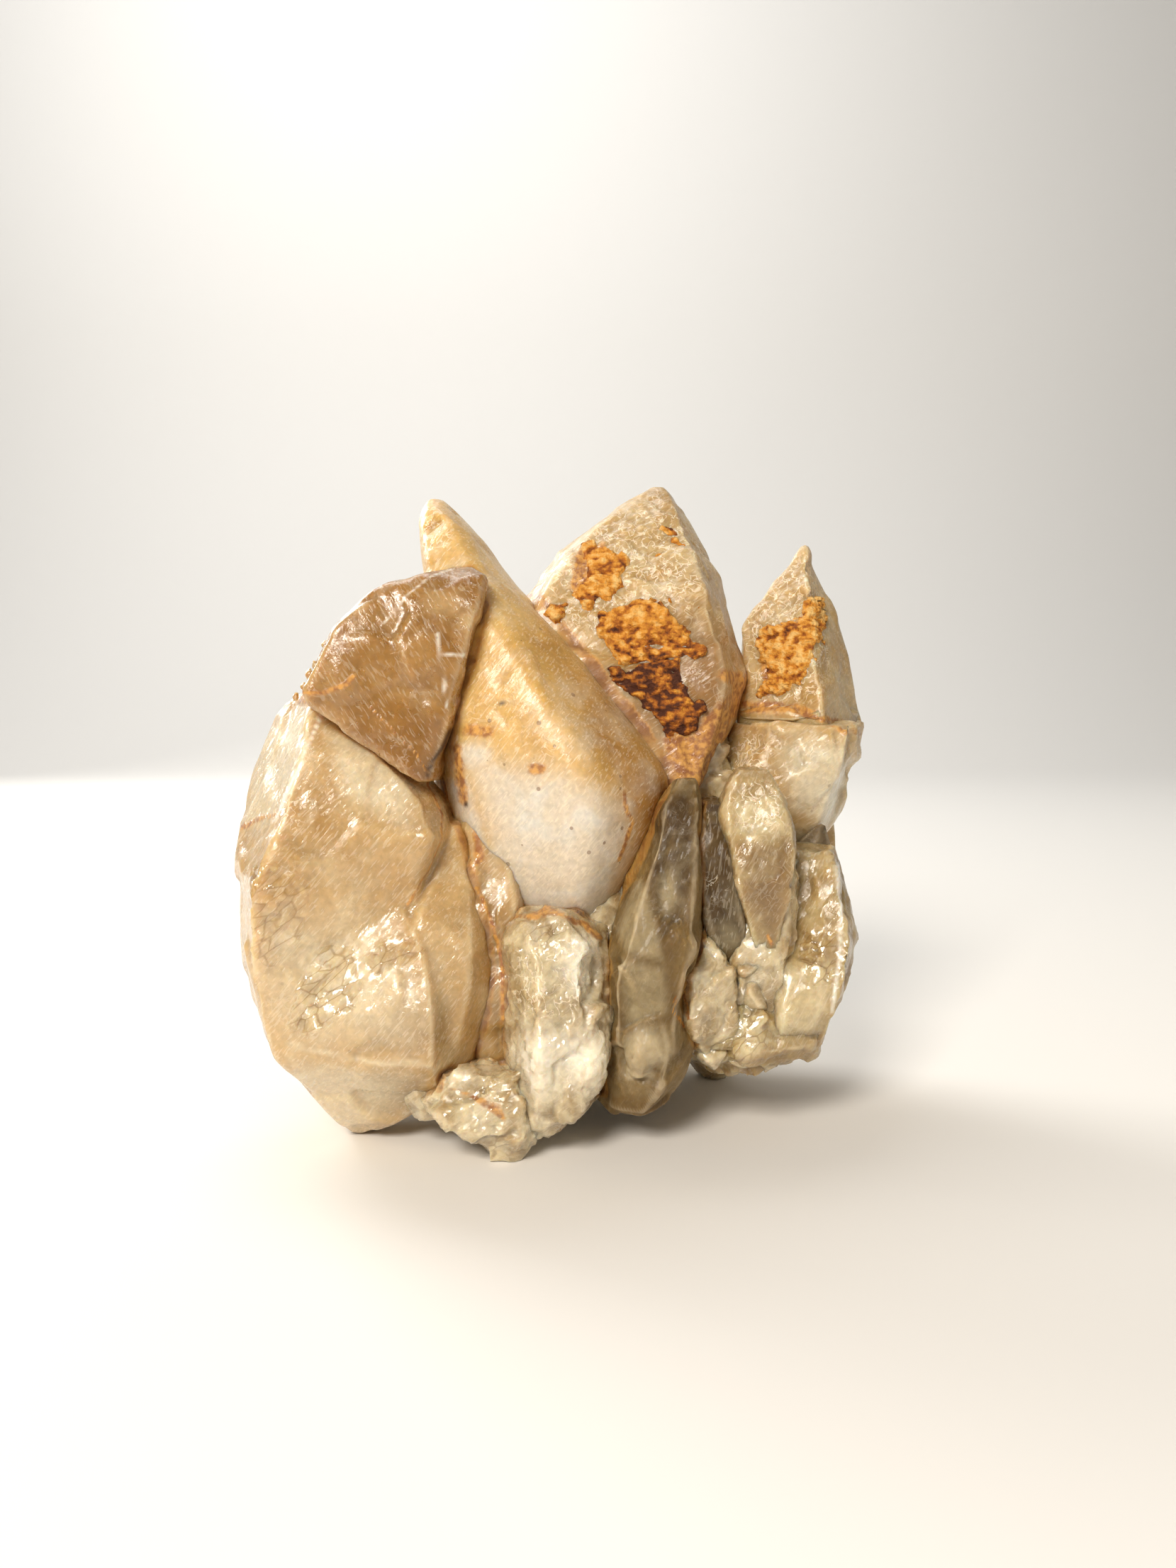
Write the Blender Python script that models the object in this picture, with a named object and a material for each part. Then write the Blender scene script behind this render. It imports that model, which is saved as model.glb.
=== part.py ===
# Dogtooth calcite cluster: a hand specimen of blunt scalenohedral teeth grown together on a lumpy root.
# Everything is one solid, because the crystals grew into each other.
# Dimensions below are in millimetres; the mesh is in metres, +Z up, standing on four small broken feet.
#
# A crystal is a stack of level sections from its tip down to its root. Each section is
# (height, centre x, centre y, width along x, depth along y). "edges" are the compass directions, in degrees
# from +X towards +Y, in which the crystal's edges run down its sides. "cuts" are flat faces that take a
# corner off: a point on the face and the direction it looks in.

import math
import random

import bmesh
import bpy
from mathutils import Vector
from mathutils.bvhtree import BVHTree

MM = 0.001
NAME = "calcite_cluster"
SEED = 41

# The middle of the finished cluster's box, which becomes the origin
CENTRE_X = 3.6
CENTRE_Y = 3.6

# The crystals of the front, left to right
FRONT_CRYSTALS = {
    "left_tooth": {
        "edges": (0, 50, 110, 165, 195, 235, 318, 344),
        "sections": (
            (73, -38.5, -13, 7, 10),
            (71, -39, -12, 15, 20),
            (63, -37, -12, 26, 33),
            (56, -35.5, -11, 32.5, 41),
            (50, -34.5, -10, 33, 45),
            (43, -35, -10, 31.5, 45),
            (33.5, -36.5, -11, 27.5, 43),
            (23, -36, -12, 25, 37),
            (13, -34, -12, 19, 30),
        ),
        "cuts": (((-37.5, -21, 71), (-0.74, -0.43, 0.37)),),
    },
    "lower_left_tooth": {
        "edges": (5, 60, 115, 170, 205, 245, 318, 344),
        "sections": (
            (50.5, -18, -13, 2, 8),
            (43.5, -19.5, -13, 9.5, 22),
            (35.5, -21.5, -13, 21, 34),
            (27.5, -22.5, -13, 27, 38),
            (19.5, -23, -13, 28, 37),
            (13, -24, -13, 27, 34),
            (6, -24, -12, 22, 26),
        ),
        "cuts": (((-24, -29.5, 13), (-0.12, -0.72, -0.68)),),
    },
    "left_point": {
        "edges": (0, 55, 120, 180, 225, 300),
        "sections": (
            (16, -35, -14, 22, 28),
            (9, -30.5, -14, 23, 26),
            (5, -30.5, -14, 19, 20),
            (1, -33.5, -16, 8, 9),
            (0, -34, -17, 5, 5),
        ),
        "cuts": (((-30, -27, 10), (-0.12, -0.72, -0.68)),),
    },
    "smoky_wedge": {
        "edges": (352, 60, 120, 175, 215, 335),
        "sections": (
            (93.5, -14.5, -12, 4, 6),
            (91.5, -16, -12, 12.5, 14),
            (89, -19, -12, 18.5, 20),
            (83.5, -23, -13, 24.5, 24),
            (78.5, -25, -13, 25.5, 26),
            (73.5, -27.5, -13, 26.5, 26),
            (68, -27, -13, 24, 25),
            (59, -20.5, -16, 5, 18),
        ),
        "cuts": (((-24, -20, 61), (-0.57, -0.08, -0.82)),),
    },
    "main_tooth": {
        "edges": (8, 62, 118, 160, 197, 228, 285, 325),
        "sections": (
            (107, -20.5, 4, 3, 5),
            (103.5, -19.5, 3, 9, 14),
            (98, -17, 2, 15.5, 24),
            (89.5, -13, 0, 23.5, 34),
            (80, -8.5, -1, 31, 42),
            (70.5, -4, -2, 38, 48),
            (60, 0.5, -3, 44, 50),
            (49, 1.5, -3, 41, 47),
            (40.5, 1.5, -3, 31, 40),
            (32, 0.5, -3, 21, 32),
            (24, 0, -3, 12.5, 22),
        ),
    },
    "granular_block": {
        "edges": (10, 60, 120, 175, 215, 255, 300, 340),
        "sections": (
            (37, -0.5, -18, 9, 14),
            (33.5, 0.5, -18, 16, 22),
            (26, 0.5, -18, 16.5, 26),
            (18.5, 1, -18, 17.5, 27),
            (9, 1, -18, 16.5, 26),
            (3, -1, -19, 9, 16),
        ),
    },
    "round_lobe": {
        "edges": (0, 45, 90, 135, 180, 225, 270, 315),
        "sections": (
            (18, 3.5, -24, 6, 7),
            (15, 4, -25, 10, 12),
            (10.5, 4.5, -25.5, 11.5, 13),
            (6, 4, -24.5, 9.5, 11),
            (4, 3, -23, 5, 6),
        ),
    },
    "front_foot": {
        "edges": (0, 60, 120, 180, 235, 305),
        "sections": (
            (13, -9, -22, 14, 14),
            (6, -9, -24, 18, 16),
            (2.5, -7.5, -26.5, 11, 10),
            (0, -7, -28, 5, 5),
        ),
    },
    "grey_tooth": {
        "edges": (0, 60, 120, 180, 232, 305),
        "sections": (
            (58, 22, -14, 2.5, 5),
            (54, 21, -14, 7, 12),
            (47.5, 19.5, -14, 9, 17),
            (41, 18.5, -15, 11.5, 21),
            (34.5, 17.5, -15, 15, 25),
            (28, 15.5, -15, 15, 26),
            (19, 15, -15, 12, 22),
        ),
    },
    "grey_root": {
        "edges": (10, 70, 130, 190, 235, 280, 325),
        "sections": (
            (24, 15, -14, 13, 22),
            (17, 17, -14, 12.5, 26),
            (10.5, 15.5, -14, 11.5, 26),
            (5, 12.5, -14, 11, 22),
            (1.5, 13, -12, 9, 14),
        ),
    },
    "small_smoky_tooth": {
        "edges": (0, 60, 120, 180, 225, 315),
        "sections": (
            (53, 27.5, -10, 3.5, 8),
            (47, 28, -10, 7, 14),
            (40.5, 28, -10, 8, 16),
            (33.5, 28, -10, 6, 14),
            (28, 28.5, -10, 4, 8),
        ),
    },
    "small_pale_tooth": {
        "edges": (10, 70, 130, 190, 220, 265, 315),
        "sections": (
            (59, 33.5, -14, 5, 8),
            (54, 33.5, -14, 9.5, 14),
            (47.5, 35, -14, 11, 18),
            (42.5, 36, -14, 10, 18),
            (37, 36.5, -14, 6.5, 14),
            (32.5, 36.5, -14, 2, 6),
        ),
    },
    "right_low_tooth": {
        "edges": (10, 70, 130, 185, 215, 278),
        "sections": (
            (46, 46, -6, 5, 8),
            (42.5, 46, -6, 8, 16),
            (35.5, 45.5, -6, 11, 24),
            (30, 46, -6, 14, 28),
            (23, 44.5, -6, 13, 28),
            (15, 42.5, -6, 9.5, 24),
            (8, 41.5, -6, 7, 16),
        ),
    },
    "right_low_point": {
        "edges": (0, 70, 130, 190, 235, 300),
        "sections": (
            (31, 27, -13, 1.5, 3),
            (26, 27, -13, 7, 12),
            (20, 28, -13, 11, 18),
            (12, 29, -12, 12, 18),
        ),
    },
    "right_low_root": {
        "edges": (0, 55, 115, 175, 225, 270, 315),
        "sections": (
            (24, 36, -8, 10, 12),
            (19.5, 34, -10, 20, 20),
            (13.5, 34, -11, 22.5, 23),
            (8.5, 34, -10, 15, 16),
            (5.5, 31, -8, 3, 6),
        ),
    },
    "right_root": {
        "edges": (12, 70, 130, 200, 240, 278),
        "sections": (
            (67, 45, 13, 25, 31),
            (62.5, 44, 12, 26.5, 33),
            (57.5, 42, 11, 27, 31),
            (53, 40.5, 10, 27, 27),
            (49, 40, 9, 24.5, 21),
            (44, 43.5, 8, 3, 10),
        ),
    },
    "right_upper_ledge": {
        "edges": (12, 70, 130, 200, 276),
        "sections": ((70, 46, 14, 24.6, 30.4), (69.2, 46, 13.8, 26, 32), (68.2, 46, 13.8, 25.4, 31.6)),
    },
    "right_lower_ledge": {
        "edges": (12, 70, 130, 200, 276),
        "sections": ((66.4, 45.3, 13.4, 25.4, 31.8), (65.2, 45, 13, 27.2, 33.6), (63.6, 44.8, 12.6, 26.4, 33)),
    },
    "right_tooth": {
        "edges": (12, 70, 130, 200, 276),
        "sections": (
            (99.5, 46, 14, 1, 2),
            (95.5, 45.5, 14, 5.5, 8),
            (91.5, 45, 14, 12.5, 15),
            (85, 43.5, 14, 19.5, 21),
            (77.5, 45, 14, 21, 26),
            (72, 46, 14, 22.5, 29),
            (66.5, 46, 14, 25, 31),
        ),
    },
    "back_tooth": {
        "edges": (0, 60, 120, 180, 222, 318),
        "sections": (
            (111, 19, 18, 2.5, 3),
            (108.5, 18, 18, 9.5, 10),
            (105.5, 16.5, 18, 17, 18),
            (99.5, 14, 17, 26.5, 26),
            (94, 13, 16, 34, 32),
            (85, 11.5, 15, 43.5, 38),
            (76, 11.5, 14, 49, 40),
            (67.5, 12, 12, 43.5, 38),
            (56, 12.5, 8, 30, 32),
        ),
    },
}

# The lumpy root that the crystals grew from, and the two broken feet behind
ROOT = {
    "edges": (15, 60, 105, 150, 195, 240, 285, 330),
    "sections": (
        (76, 10, 10, 30, 20),
        (62, 4, 9, 44, 24),
        (50, 2, 6, 74, 34),
        (40, 1, 4, 80, 40),
        (28, 0, 3, 80, 44),
        (14, -1, 4, 62, 40),
        (8, -3, 6, 42, 30),
    ),
}
BACK_FEET = {
    "back_left_foot": {
        "edges": (20, 80, 140, 200, 260, 320),
        "sections": ((16, -20, 16, 24, 20), (5, -23, 19, 13, 13), (0, -24, 20, 6, 6)),
    },
    "back_right_foot": {
        "edges": (0, 60, 120, 180, 240, 300),
        "sections": ((18, 25, 10, 24, 20), (5, 29, 13, 12, 12), (0, 30, 14, 6, 6)),
    },
}

# Teeth of the back and the sides: tip, foot of the axis, width, depth and the first edge's direction
BACK_TEETH = {
    "back_left_tooth": ((-30, 24, 83), (-20, 14, 20), 31, 27, 15),
    "back_right_tooth": ((34, 33, 79), (24, 16, 20), 28, 26, 40),
    "left_side_tooth": ((-48, 13, 57), (-30, 9, 16), 21, 22, 5),
    "right_side_tooth": ((51, 21, 53), (36, 12, 14), 20, 22, 25),
    "back_low_tooth": ((4, 37, 55), (3, 19, 10), 26, 22, 50),
    "back_low_left_tooth": ((-22, 36, 42), (-12, 20, 6), 19, 18, 10),
    "back_low_right_tooth": ((22, 37, 38), (16, 20, 6), 19, 16, 35),
}

# Small crystals in the gaps of the front, with the same measures
SMALL_TEETH = {
    "white_point": ((-21, -27.5, 14), (-19.5, -23, 5), 6.5, 6, 20),
    "yellow_point_left": ((-15, -28, 12), (-12.5, -22, 2.5), 6, 6, 0),
    "yellow_point_low": ((-11.5, -29, 9), (-10, -23, 1.5), 5.5, 5.5, 30),
    "glassy_point": ((30, -17.5, 36), (30.5, -12, 27), 3.6, 4, 10),
    "right_gap_point": ((34.5, -19.5, 30), (34, -12, 20), 6.5, 6.5, 15),
    "right_gap_point_low": ((37.5, -19.5, 26), (36, -12, 16), 6, 6, 45),
    "grey_gap_point": ((21, -21, 23), (19, -13, 12), 7, 7, 20),
    "matrix_point": ((47, -2, 50), (42, 2, 38), 9, 9, 25),
}

# How a tooth swells from its tip to its foot: share of the length, share of the girth
TOOTH_SWELL = ((0, 0.07), (0.05, 0.24), (0.17, 0.52), (0.36, 0.84), (0.56, 1), (0.76, 0.9), (1, 0.6))
SMALL_SWELL = ((0, 0.1), (0.3, 0.72), (0.6, 1), (1, 0.75))
TOOTH_SIDES = 6

# Druse: the small crystals round the back and sides of the root, between two directions and two heights
DRUSE_COUNT = 34
DRUSE_FROM = -20
DRUSE_SWEEP = 220
DRUSE_HEIGHTS = (11, 58)
DRUSE_LENGTH = (9, 15)
DRUSE_WIDTH = (5, 9)
DRUSE_OUTWARD = (0.35, 0.6)
DRUSE_UPWARD = (0.6, 0.9)
DRUSE_SUNK = 0.45

# Broken lumps of the underside, which stay above the feet and rise towards the rim
UNDER_COUNT = 22
UNDER_RADIUS = (4, 7)
UNDER_CLEARANCE = 2.5
UNDER_REACH = 0.46
UNDER_RISE = (3, 9)
GOLDEN_ANGLE = 137.508

# Iron crust on the two back teeth: tooth, middle (x, z), half width, half height, knobs
CRUST_PATCHES = (
    ("back_tooth", (16.5, 82), 8, 4.5, 12),
    ("back_tooth", (20, 70.5), 5, 5.5, 8),
    ("back_tooth", (7.5, 92), 5, 4.5, 4),
    ("right_tooth", (41.5, 80), 3.5, 7.5, 9),
)
CRUST_KNOB = (2, 4)
CRUST_THICKNESS = 0.8
IN_FRONT = -100

# Crumbled upper edge of the smoky wedge: middle and radius of each crumb
WEDGE_CRUMBS = (
    ((-30, -13, 85.5), 2.4),
    ((-33, -14, 82.5), 2.6),
    ((-35.5, -13.5, 80), 2.4),
    ((-37, -15, 76.5), 2.4),
    ((-38.5, -13, 73), 2.2),
)
LUMP_CORNERS = 14


def tooth(tip, foot, width, depth, turn, swell=TOOTH_SWELL):
    """Sections of a tooth whose axis runs from tip to foot and whose girth follows the swell."""
    sections = []
    for along, girth in swell:
        x, y, z = Vector(tip).lerp(Vector(foot), along)
        sections.append((z, x, y, width * girth, depth * girth))
    edges = tuple(turn + 360 / TOOTH_SIDES * side for side in range(TOOTH_SIDES))
    return {"edges": edges, "sections": tuple(sections)}


def ring(section, edges):
    """Corners of one level section: the edge directions on a circle, stretched to the width and depth."""
    height, centre_x, centre_y, width, depth = section
    xs = [math.cos(math.radians(edge)) for edge in edges]
    ys = [math.sin(math.radians(edge)) for edge in edges]
    span_x = max(xs) - min(xs)
    span_y = max(ys) - min(ys)
    middle_x = (max(xs) + min(xs)) / 2
    middle_y = (max(ys) + min(ys)) / 2
    return [
        Vector((centre_x + (x - middle_x) / span_x * width, centre_y + (y - middle_y) / span_y * depth, height))
        for x, y in zip(xs, ys)
    ]


def lump_points(middle, radius, rng, looks=Vector((0, 0, 1)), thickness=None):
    """Corners of an angular lump: seeded directions on a ball, flattened along the way it looks."""
    squash = (thickness or radius) / radius
    corners = []
    for _ in range(LUMP_CORNERS):
        way = Vector((rng.gauss(0, 1), rng.gauss(0, 1), rng.gauss(0, 1))).normalized()
        way -= looks * way.dot(looks) * (1 - squash)
        corners.append(Vector(middle) + way * radius)
    return corners


def hull_mesh(name, points, cuts=()):
    """Closed convex mesh around the points, with each cut taking off what lies beyond its face."""
    middle = Vector((CENTRE_X, CENTRE_Y, 0))
    bm = bmesh.new()
    for point in points:
        bm.verts.new((point - middle) * MM)
    hull = bmesh.ops.convex_hull(bm, input=bm.verts)
    inside = [item for item in hull["geom_interior"] if isinstance(item, bmesh.types.BMVert)]
    bmesh.ops.delete(bm, geom=inside, context="VERTS")
    for point, looks in cuts:
        place = (Vector(point) - middle) * MM
        everything = bm.verts[:] + bm.edges[:] + bm.faces[:]
        cut = bmesh.ops.bisect_plane(bm, geom=everything, plane_co=place, plane_no=looks, clear_outer=True)
        rim = [item for item in cut["geom_cut"] if isinstance(item, bmesh.types.BMEdge)]
        bmesh.ops.contextual_create(bm, geom=rim)
    bmesh.ops.recalc_face_normals(bm, faces=bm.faces)
    mesh = bpy.data.meshes.new(name)
    bm.to_mesh(mesh)
    bm.free()
    return mesh


def add_guide(name, mesh, collection):
    """A solid that the cluster's union takes in."""
    guide = bpy.data.objects.new(name, mesh)
    guide.hide_render = True
    guide.display_type = "WIRE"
    collection.objects.link(guide)
    return guide


def add_crystal(name, shape, collection):
    points = [corner for section in shape["sections"] for corner in ring(section, shape["edges"])]
    return add_guide(name, hull_mesh(name, points, shape.get("cuts", ())), collection)


def root_section(height):
    """Centre and size of the root at a height, between the two sections next to it."""
    above = min((item for item in ROOT["sections"] if item[0] >= height), key=lambda item: item[0])
    below = max((item for item in ROOT["sections"] if item[0] < height), key=lambda item: item[0])
    share = (height - below[0]) / (above[0] - below[0])
    return [low + (high - low) * share for low, high in zip(below[1:], above[1:])]


def add_druse(rng, collection):
    """Small crystals on the root's surface, leaning out and up, spread by the golden angle."""
    lowest, highest = DRUSE_HEIGHTS
    for index in range(DRUSE_COUNT):
        height = lowest + (highest - lowest) * (index + 0.5) / DRUSE_COUNT
        x, y, width, depth = root_section(height)
        angle = math.radians(DRUSE_FROM + (index * GOLDEN_ANGLE) % DRUSE_SWEEP)
        out = Vector((math.cos(angle), math.sin(angle), 0))
        skin = Vector((x + out.x * width / 2, y + out.y * depth / 2, height))
        length = rng.uniform(*DRUSE_LENGTH)
        girth = rng.uniform(*DRUSE_WIDTH)
        lean = (out * rng.uniform(*DRUSE_OUTWARD) + Vector((0, 0, rng.uniform(*DRUSE_UPWARD)))).normalized()
        foot = skin - out * girth * DRUSE_SUNK - lean * length / 3
        turn = rng.uniform(0, 360 / TOOTH_SIDES)
        add_crystal(f"druse_{index}", tooth(foot + lean * length, foot, girth, girth, turn, SMALL_SWELL), collection)


def add_underside(rng, collection):
    """Broken lumps under the root, spread over its plan by the golden angle."""
    x, y, width, depth = ROOT["sections"][-2][1:]
    for index in range(UNDER_COUNT):
        angle = math.radians(index * GOLDEN_ANGLE)
        reach = math.sqrt((index + 0.5) / UNDER_COUNT) * UNDER_REACH
        radius = rng.uniform(*UNDER_RADIUS)
        lift = UNDER_CLEARANCE + radius + reach * rng.uniform(*UNDER_RISE)
        middle = (x + math.cos(angle) * width * reach, y + math.sin(angle) * depth * reach, lift)
        add_guide(f"under_{index}", hull_mesh(f"under_{index}", lump_points(middle, radius, rng)), collection)


def add_crust(rng, guides, collection):
    """Flat knobs of crust where a ray from the front meets the tooth's face."""
    middle = Vector((CENTRE_X, CENTRE_Y, 0))
    for patch, (name, (x, z), half_width, half_height, knobs) in enumerate(CRUST_PATCHES):
        face = guides[name].data
        skin = BVHTree.FromPolygons([v.co for v in face.vertices], [p.vertices for p in face.polygons])
        for knob in range(knobs):
            angle = rng.uniform(0, math.tau)
            reach = math.sqrt(rng.random())
            across = x + math.cos(angle) * half_width * reach
            height = z + math.sin(angle) * half_height * reach
            aim = Vector((across, IN_FRONT, height)) - middle
            spot, looks, _, _ = skin.ray_cast(aim * MM, Vector((0, 1, 0)))
            points = lump_points(spot / MM + middle, rng.uniform(*CRUST_KNOB), rng, looks, CRUST_THICKNESS)
            add_guide(f"crust_{patch}_{knob}", hull_mesh(f"crust_{patch}_{knob}", points), collection)


def add_crumbs(rng, collection):
    """The crumbled edge of the smoky wedge."""
    for index, (middle, radius) in enumerate(WEDGE_CRUMBS):
        add_guide(f"crumb_{index}", hull_mesh(f"crumb_{index}", lump_points(middle, radius, rng)), collection)


def calcite_material():
    material = bpy.data.materials.new("honey calcite")
    material.use_nodes = True
    shader = material.node_tree.nodes["Principled BSDF"]
    shader.inputs["Base Color"].default_value = (0.56, 0.42, 0.25, 1)
    shader.inputs["Roughness"].default_value = 0.3
    shader.inputs["Metallic"].default_value = 0
    return material


def add_cluster(crystals, collection):
    """The root with every crystal joined to it in one solid."""
    points = [corner for section in ROOT["sections"] for corner in ring(section, ROOT["edges"])]
    mesh = hull_mesh(NAME, points)
    mesh.materials.append(calcite_material())
    cluster = bpy.data.objects.new(NAME, mesh)
    collection.objects.link(cluster)
    union = cluster.modifiers.new("grown together", "BOOLEAN")
    union.operation = "UNION"
    union.solver = "EXACT"
    union.operand_type = "COLLECTION"
    union.collection = crystals


def main():
    for old in list(bpy.data.objects):
        bpy.data.objects.remove(old, do_unlink=True)
    specimen = bpy.data.collections.new("dogtooth calcite cluster")
    crystals = bpy.data.collections.new("crystals grown into the cluster")
    bpy.context.scene.collection.children.link(specimen)
    bpy.context.scene.collection.children.link(crystals)
    rng = random.Random(SEED)
    guides = {}
    for name, shape in (FRONT_CRYSTALS | BACK_FEET).items():
        guides[name] = add_crystal(name, shape, crystals)
    for name, size in BACK_TEETH.items():
        add_crystal(name, tooth(*size), crystals)
    for name, size in SMALL_TEETH.items():
        add_crystal(name, tooth(*size, SMALL_SWELL), crystals)
    add_druse(rng, crystals)
    add_underside(rng, crystals)
    add_crust(rng, guides, crystals)
    add_crumbs(rng, crystals)
    add_cluster(crystals, specimen)


main()
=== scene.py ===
# Looks of the dogtooth calcite cluster, worked out round the imported solid.
# Shapes are in the solid's design millimetres and become metres at the end. The root, the back, the druse
# and the underside have the solid's own numbers. Many crystals of the front lie a little nearer the photo.
# A crystal is a stack of level rings from its tip down: (height, centre x, centre y, width, depth).
# "edges" are the compass directions of its edges, "rounding" their mm, "cuts" faces that take a corner
# off: a point and the way it looks. "swell" moves all its faces outwards, to close the gaps that the
# solid leaves. "breaks" are sizes of broken faces on it: (lean, mm), and "waves" its share of the growth
# waves. Its "marks" lie in the picture: what and in which form, the half width of a line or soft rim of a
# patch, and places across and down; a spot has its middle and its radii. "chips" are taken off it at a
# place of the picture: form, place, reach in pixels, depth in mm and lean. "paleEdges" is how pale its
# edges are painted: partly wear, partly a painted highlight along them.

import functools
import itertools
import math
import random

import bpy
import numpy as np
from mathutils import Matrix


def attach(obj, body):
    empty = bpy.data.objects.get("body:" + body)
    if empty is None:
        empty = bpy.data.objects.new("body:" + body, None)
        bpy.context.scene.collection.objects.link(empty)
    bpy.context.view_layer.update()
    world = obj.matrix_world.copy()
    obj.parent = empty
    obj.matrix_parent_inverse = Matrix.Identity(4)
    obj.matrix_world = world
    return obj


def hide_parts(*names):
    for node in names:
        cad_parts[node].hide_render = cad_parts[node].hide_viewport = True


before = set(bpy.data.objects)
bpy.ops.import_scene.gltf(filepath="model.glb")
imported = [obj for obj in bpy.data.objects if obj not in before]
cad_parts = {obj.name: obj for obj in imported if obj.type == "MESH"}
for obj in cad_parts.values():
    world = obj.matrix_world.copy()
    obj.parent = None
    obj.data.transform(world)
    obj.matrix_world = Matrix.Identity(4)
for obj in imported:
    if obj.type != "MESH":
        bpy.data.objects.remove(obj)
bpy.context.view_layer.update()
print("packed solid loaded")

mm = 0.001
packedMiddle = np.array([3.6, 3.6, 0.0])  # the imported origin, design mm
gridStep = 0.48    # mm between the points of a large crystal

# Where the picture is taken from, design mm, and its size in pixels
picture = {"eye": np.array([6, -213.4, 74]), "tiltDeg": 4.6, "focal": 1550, "wide": 1500, "high": 2000}

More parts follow.
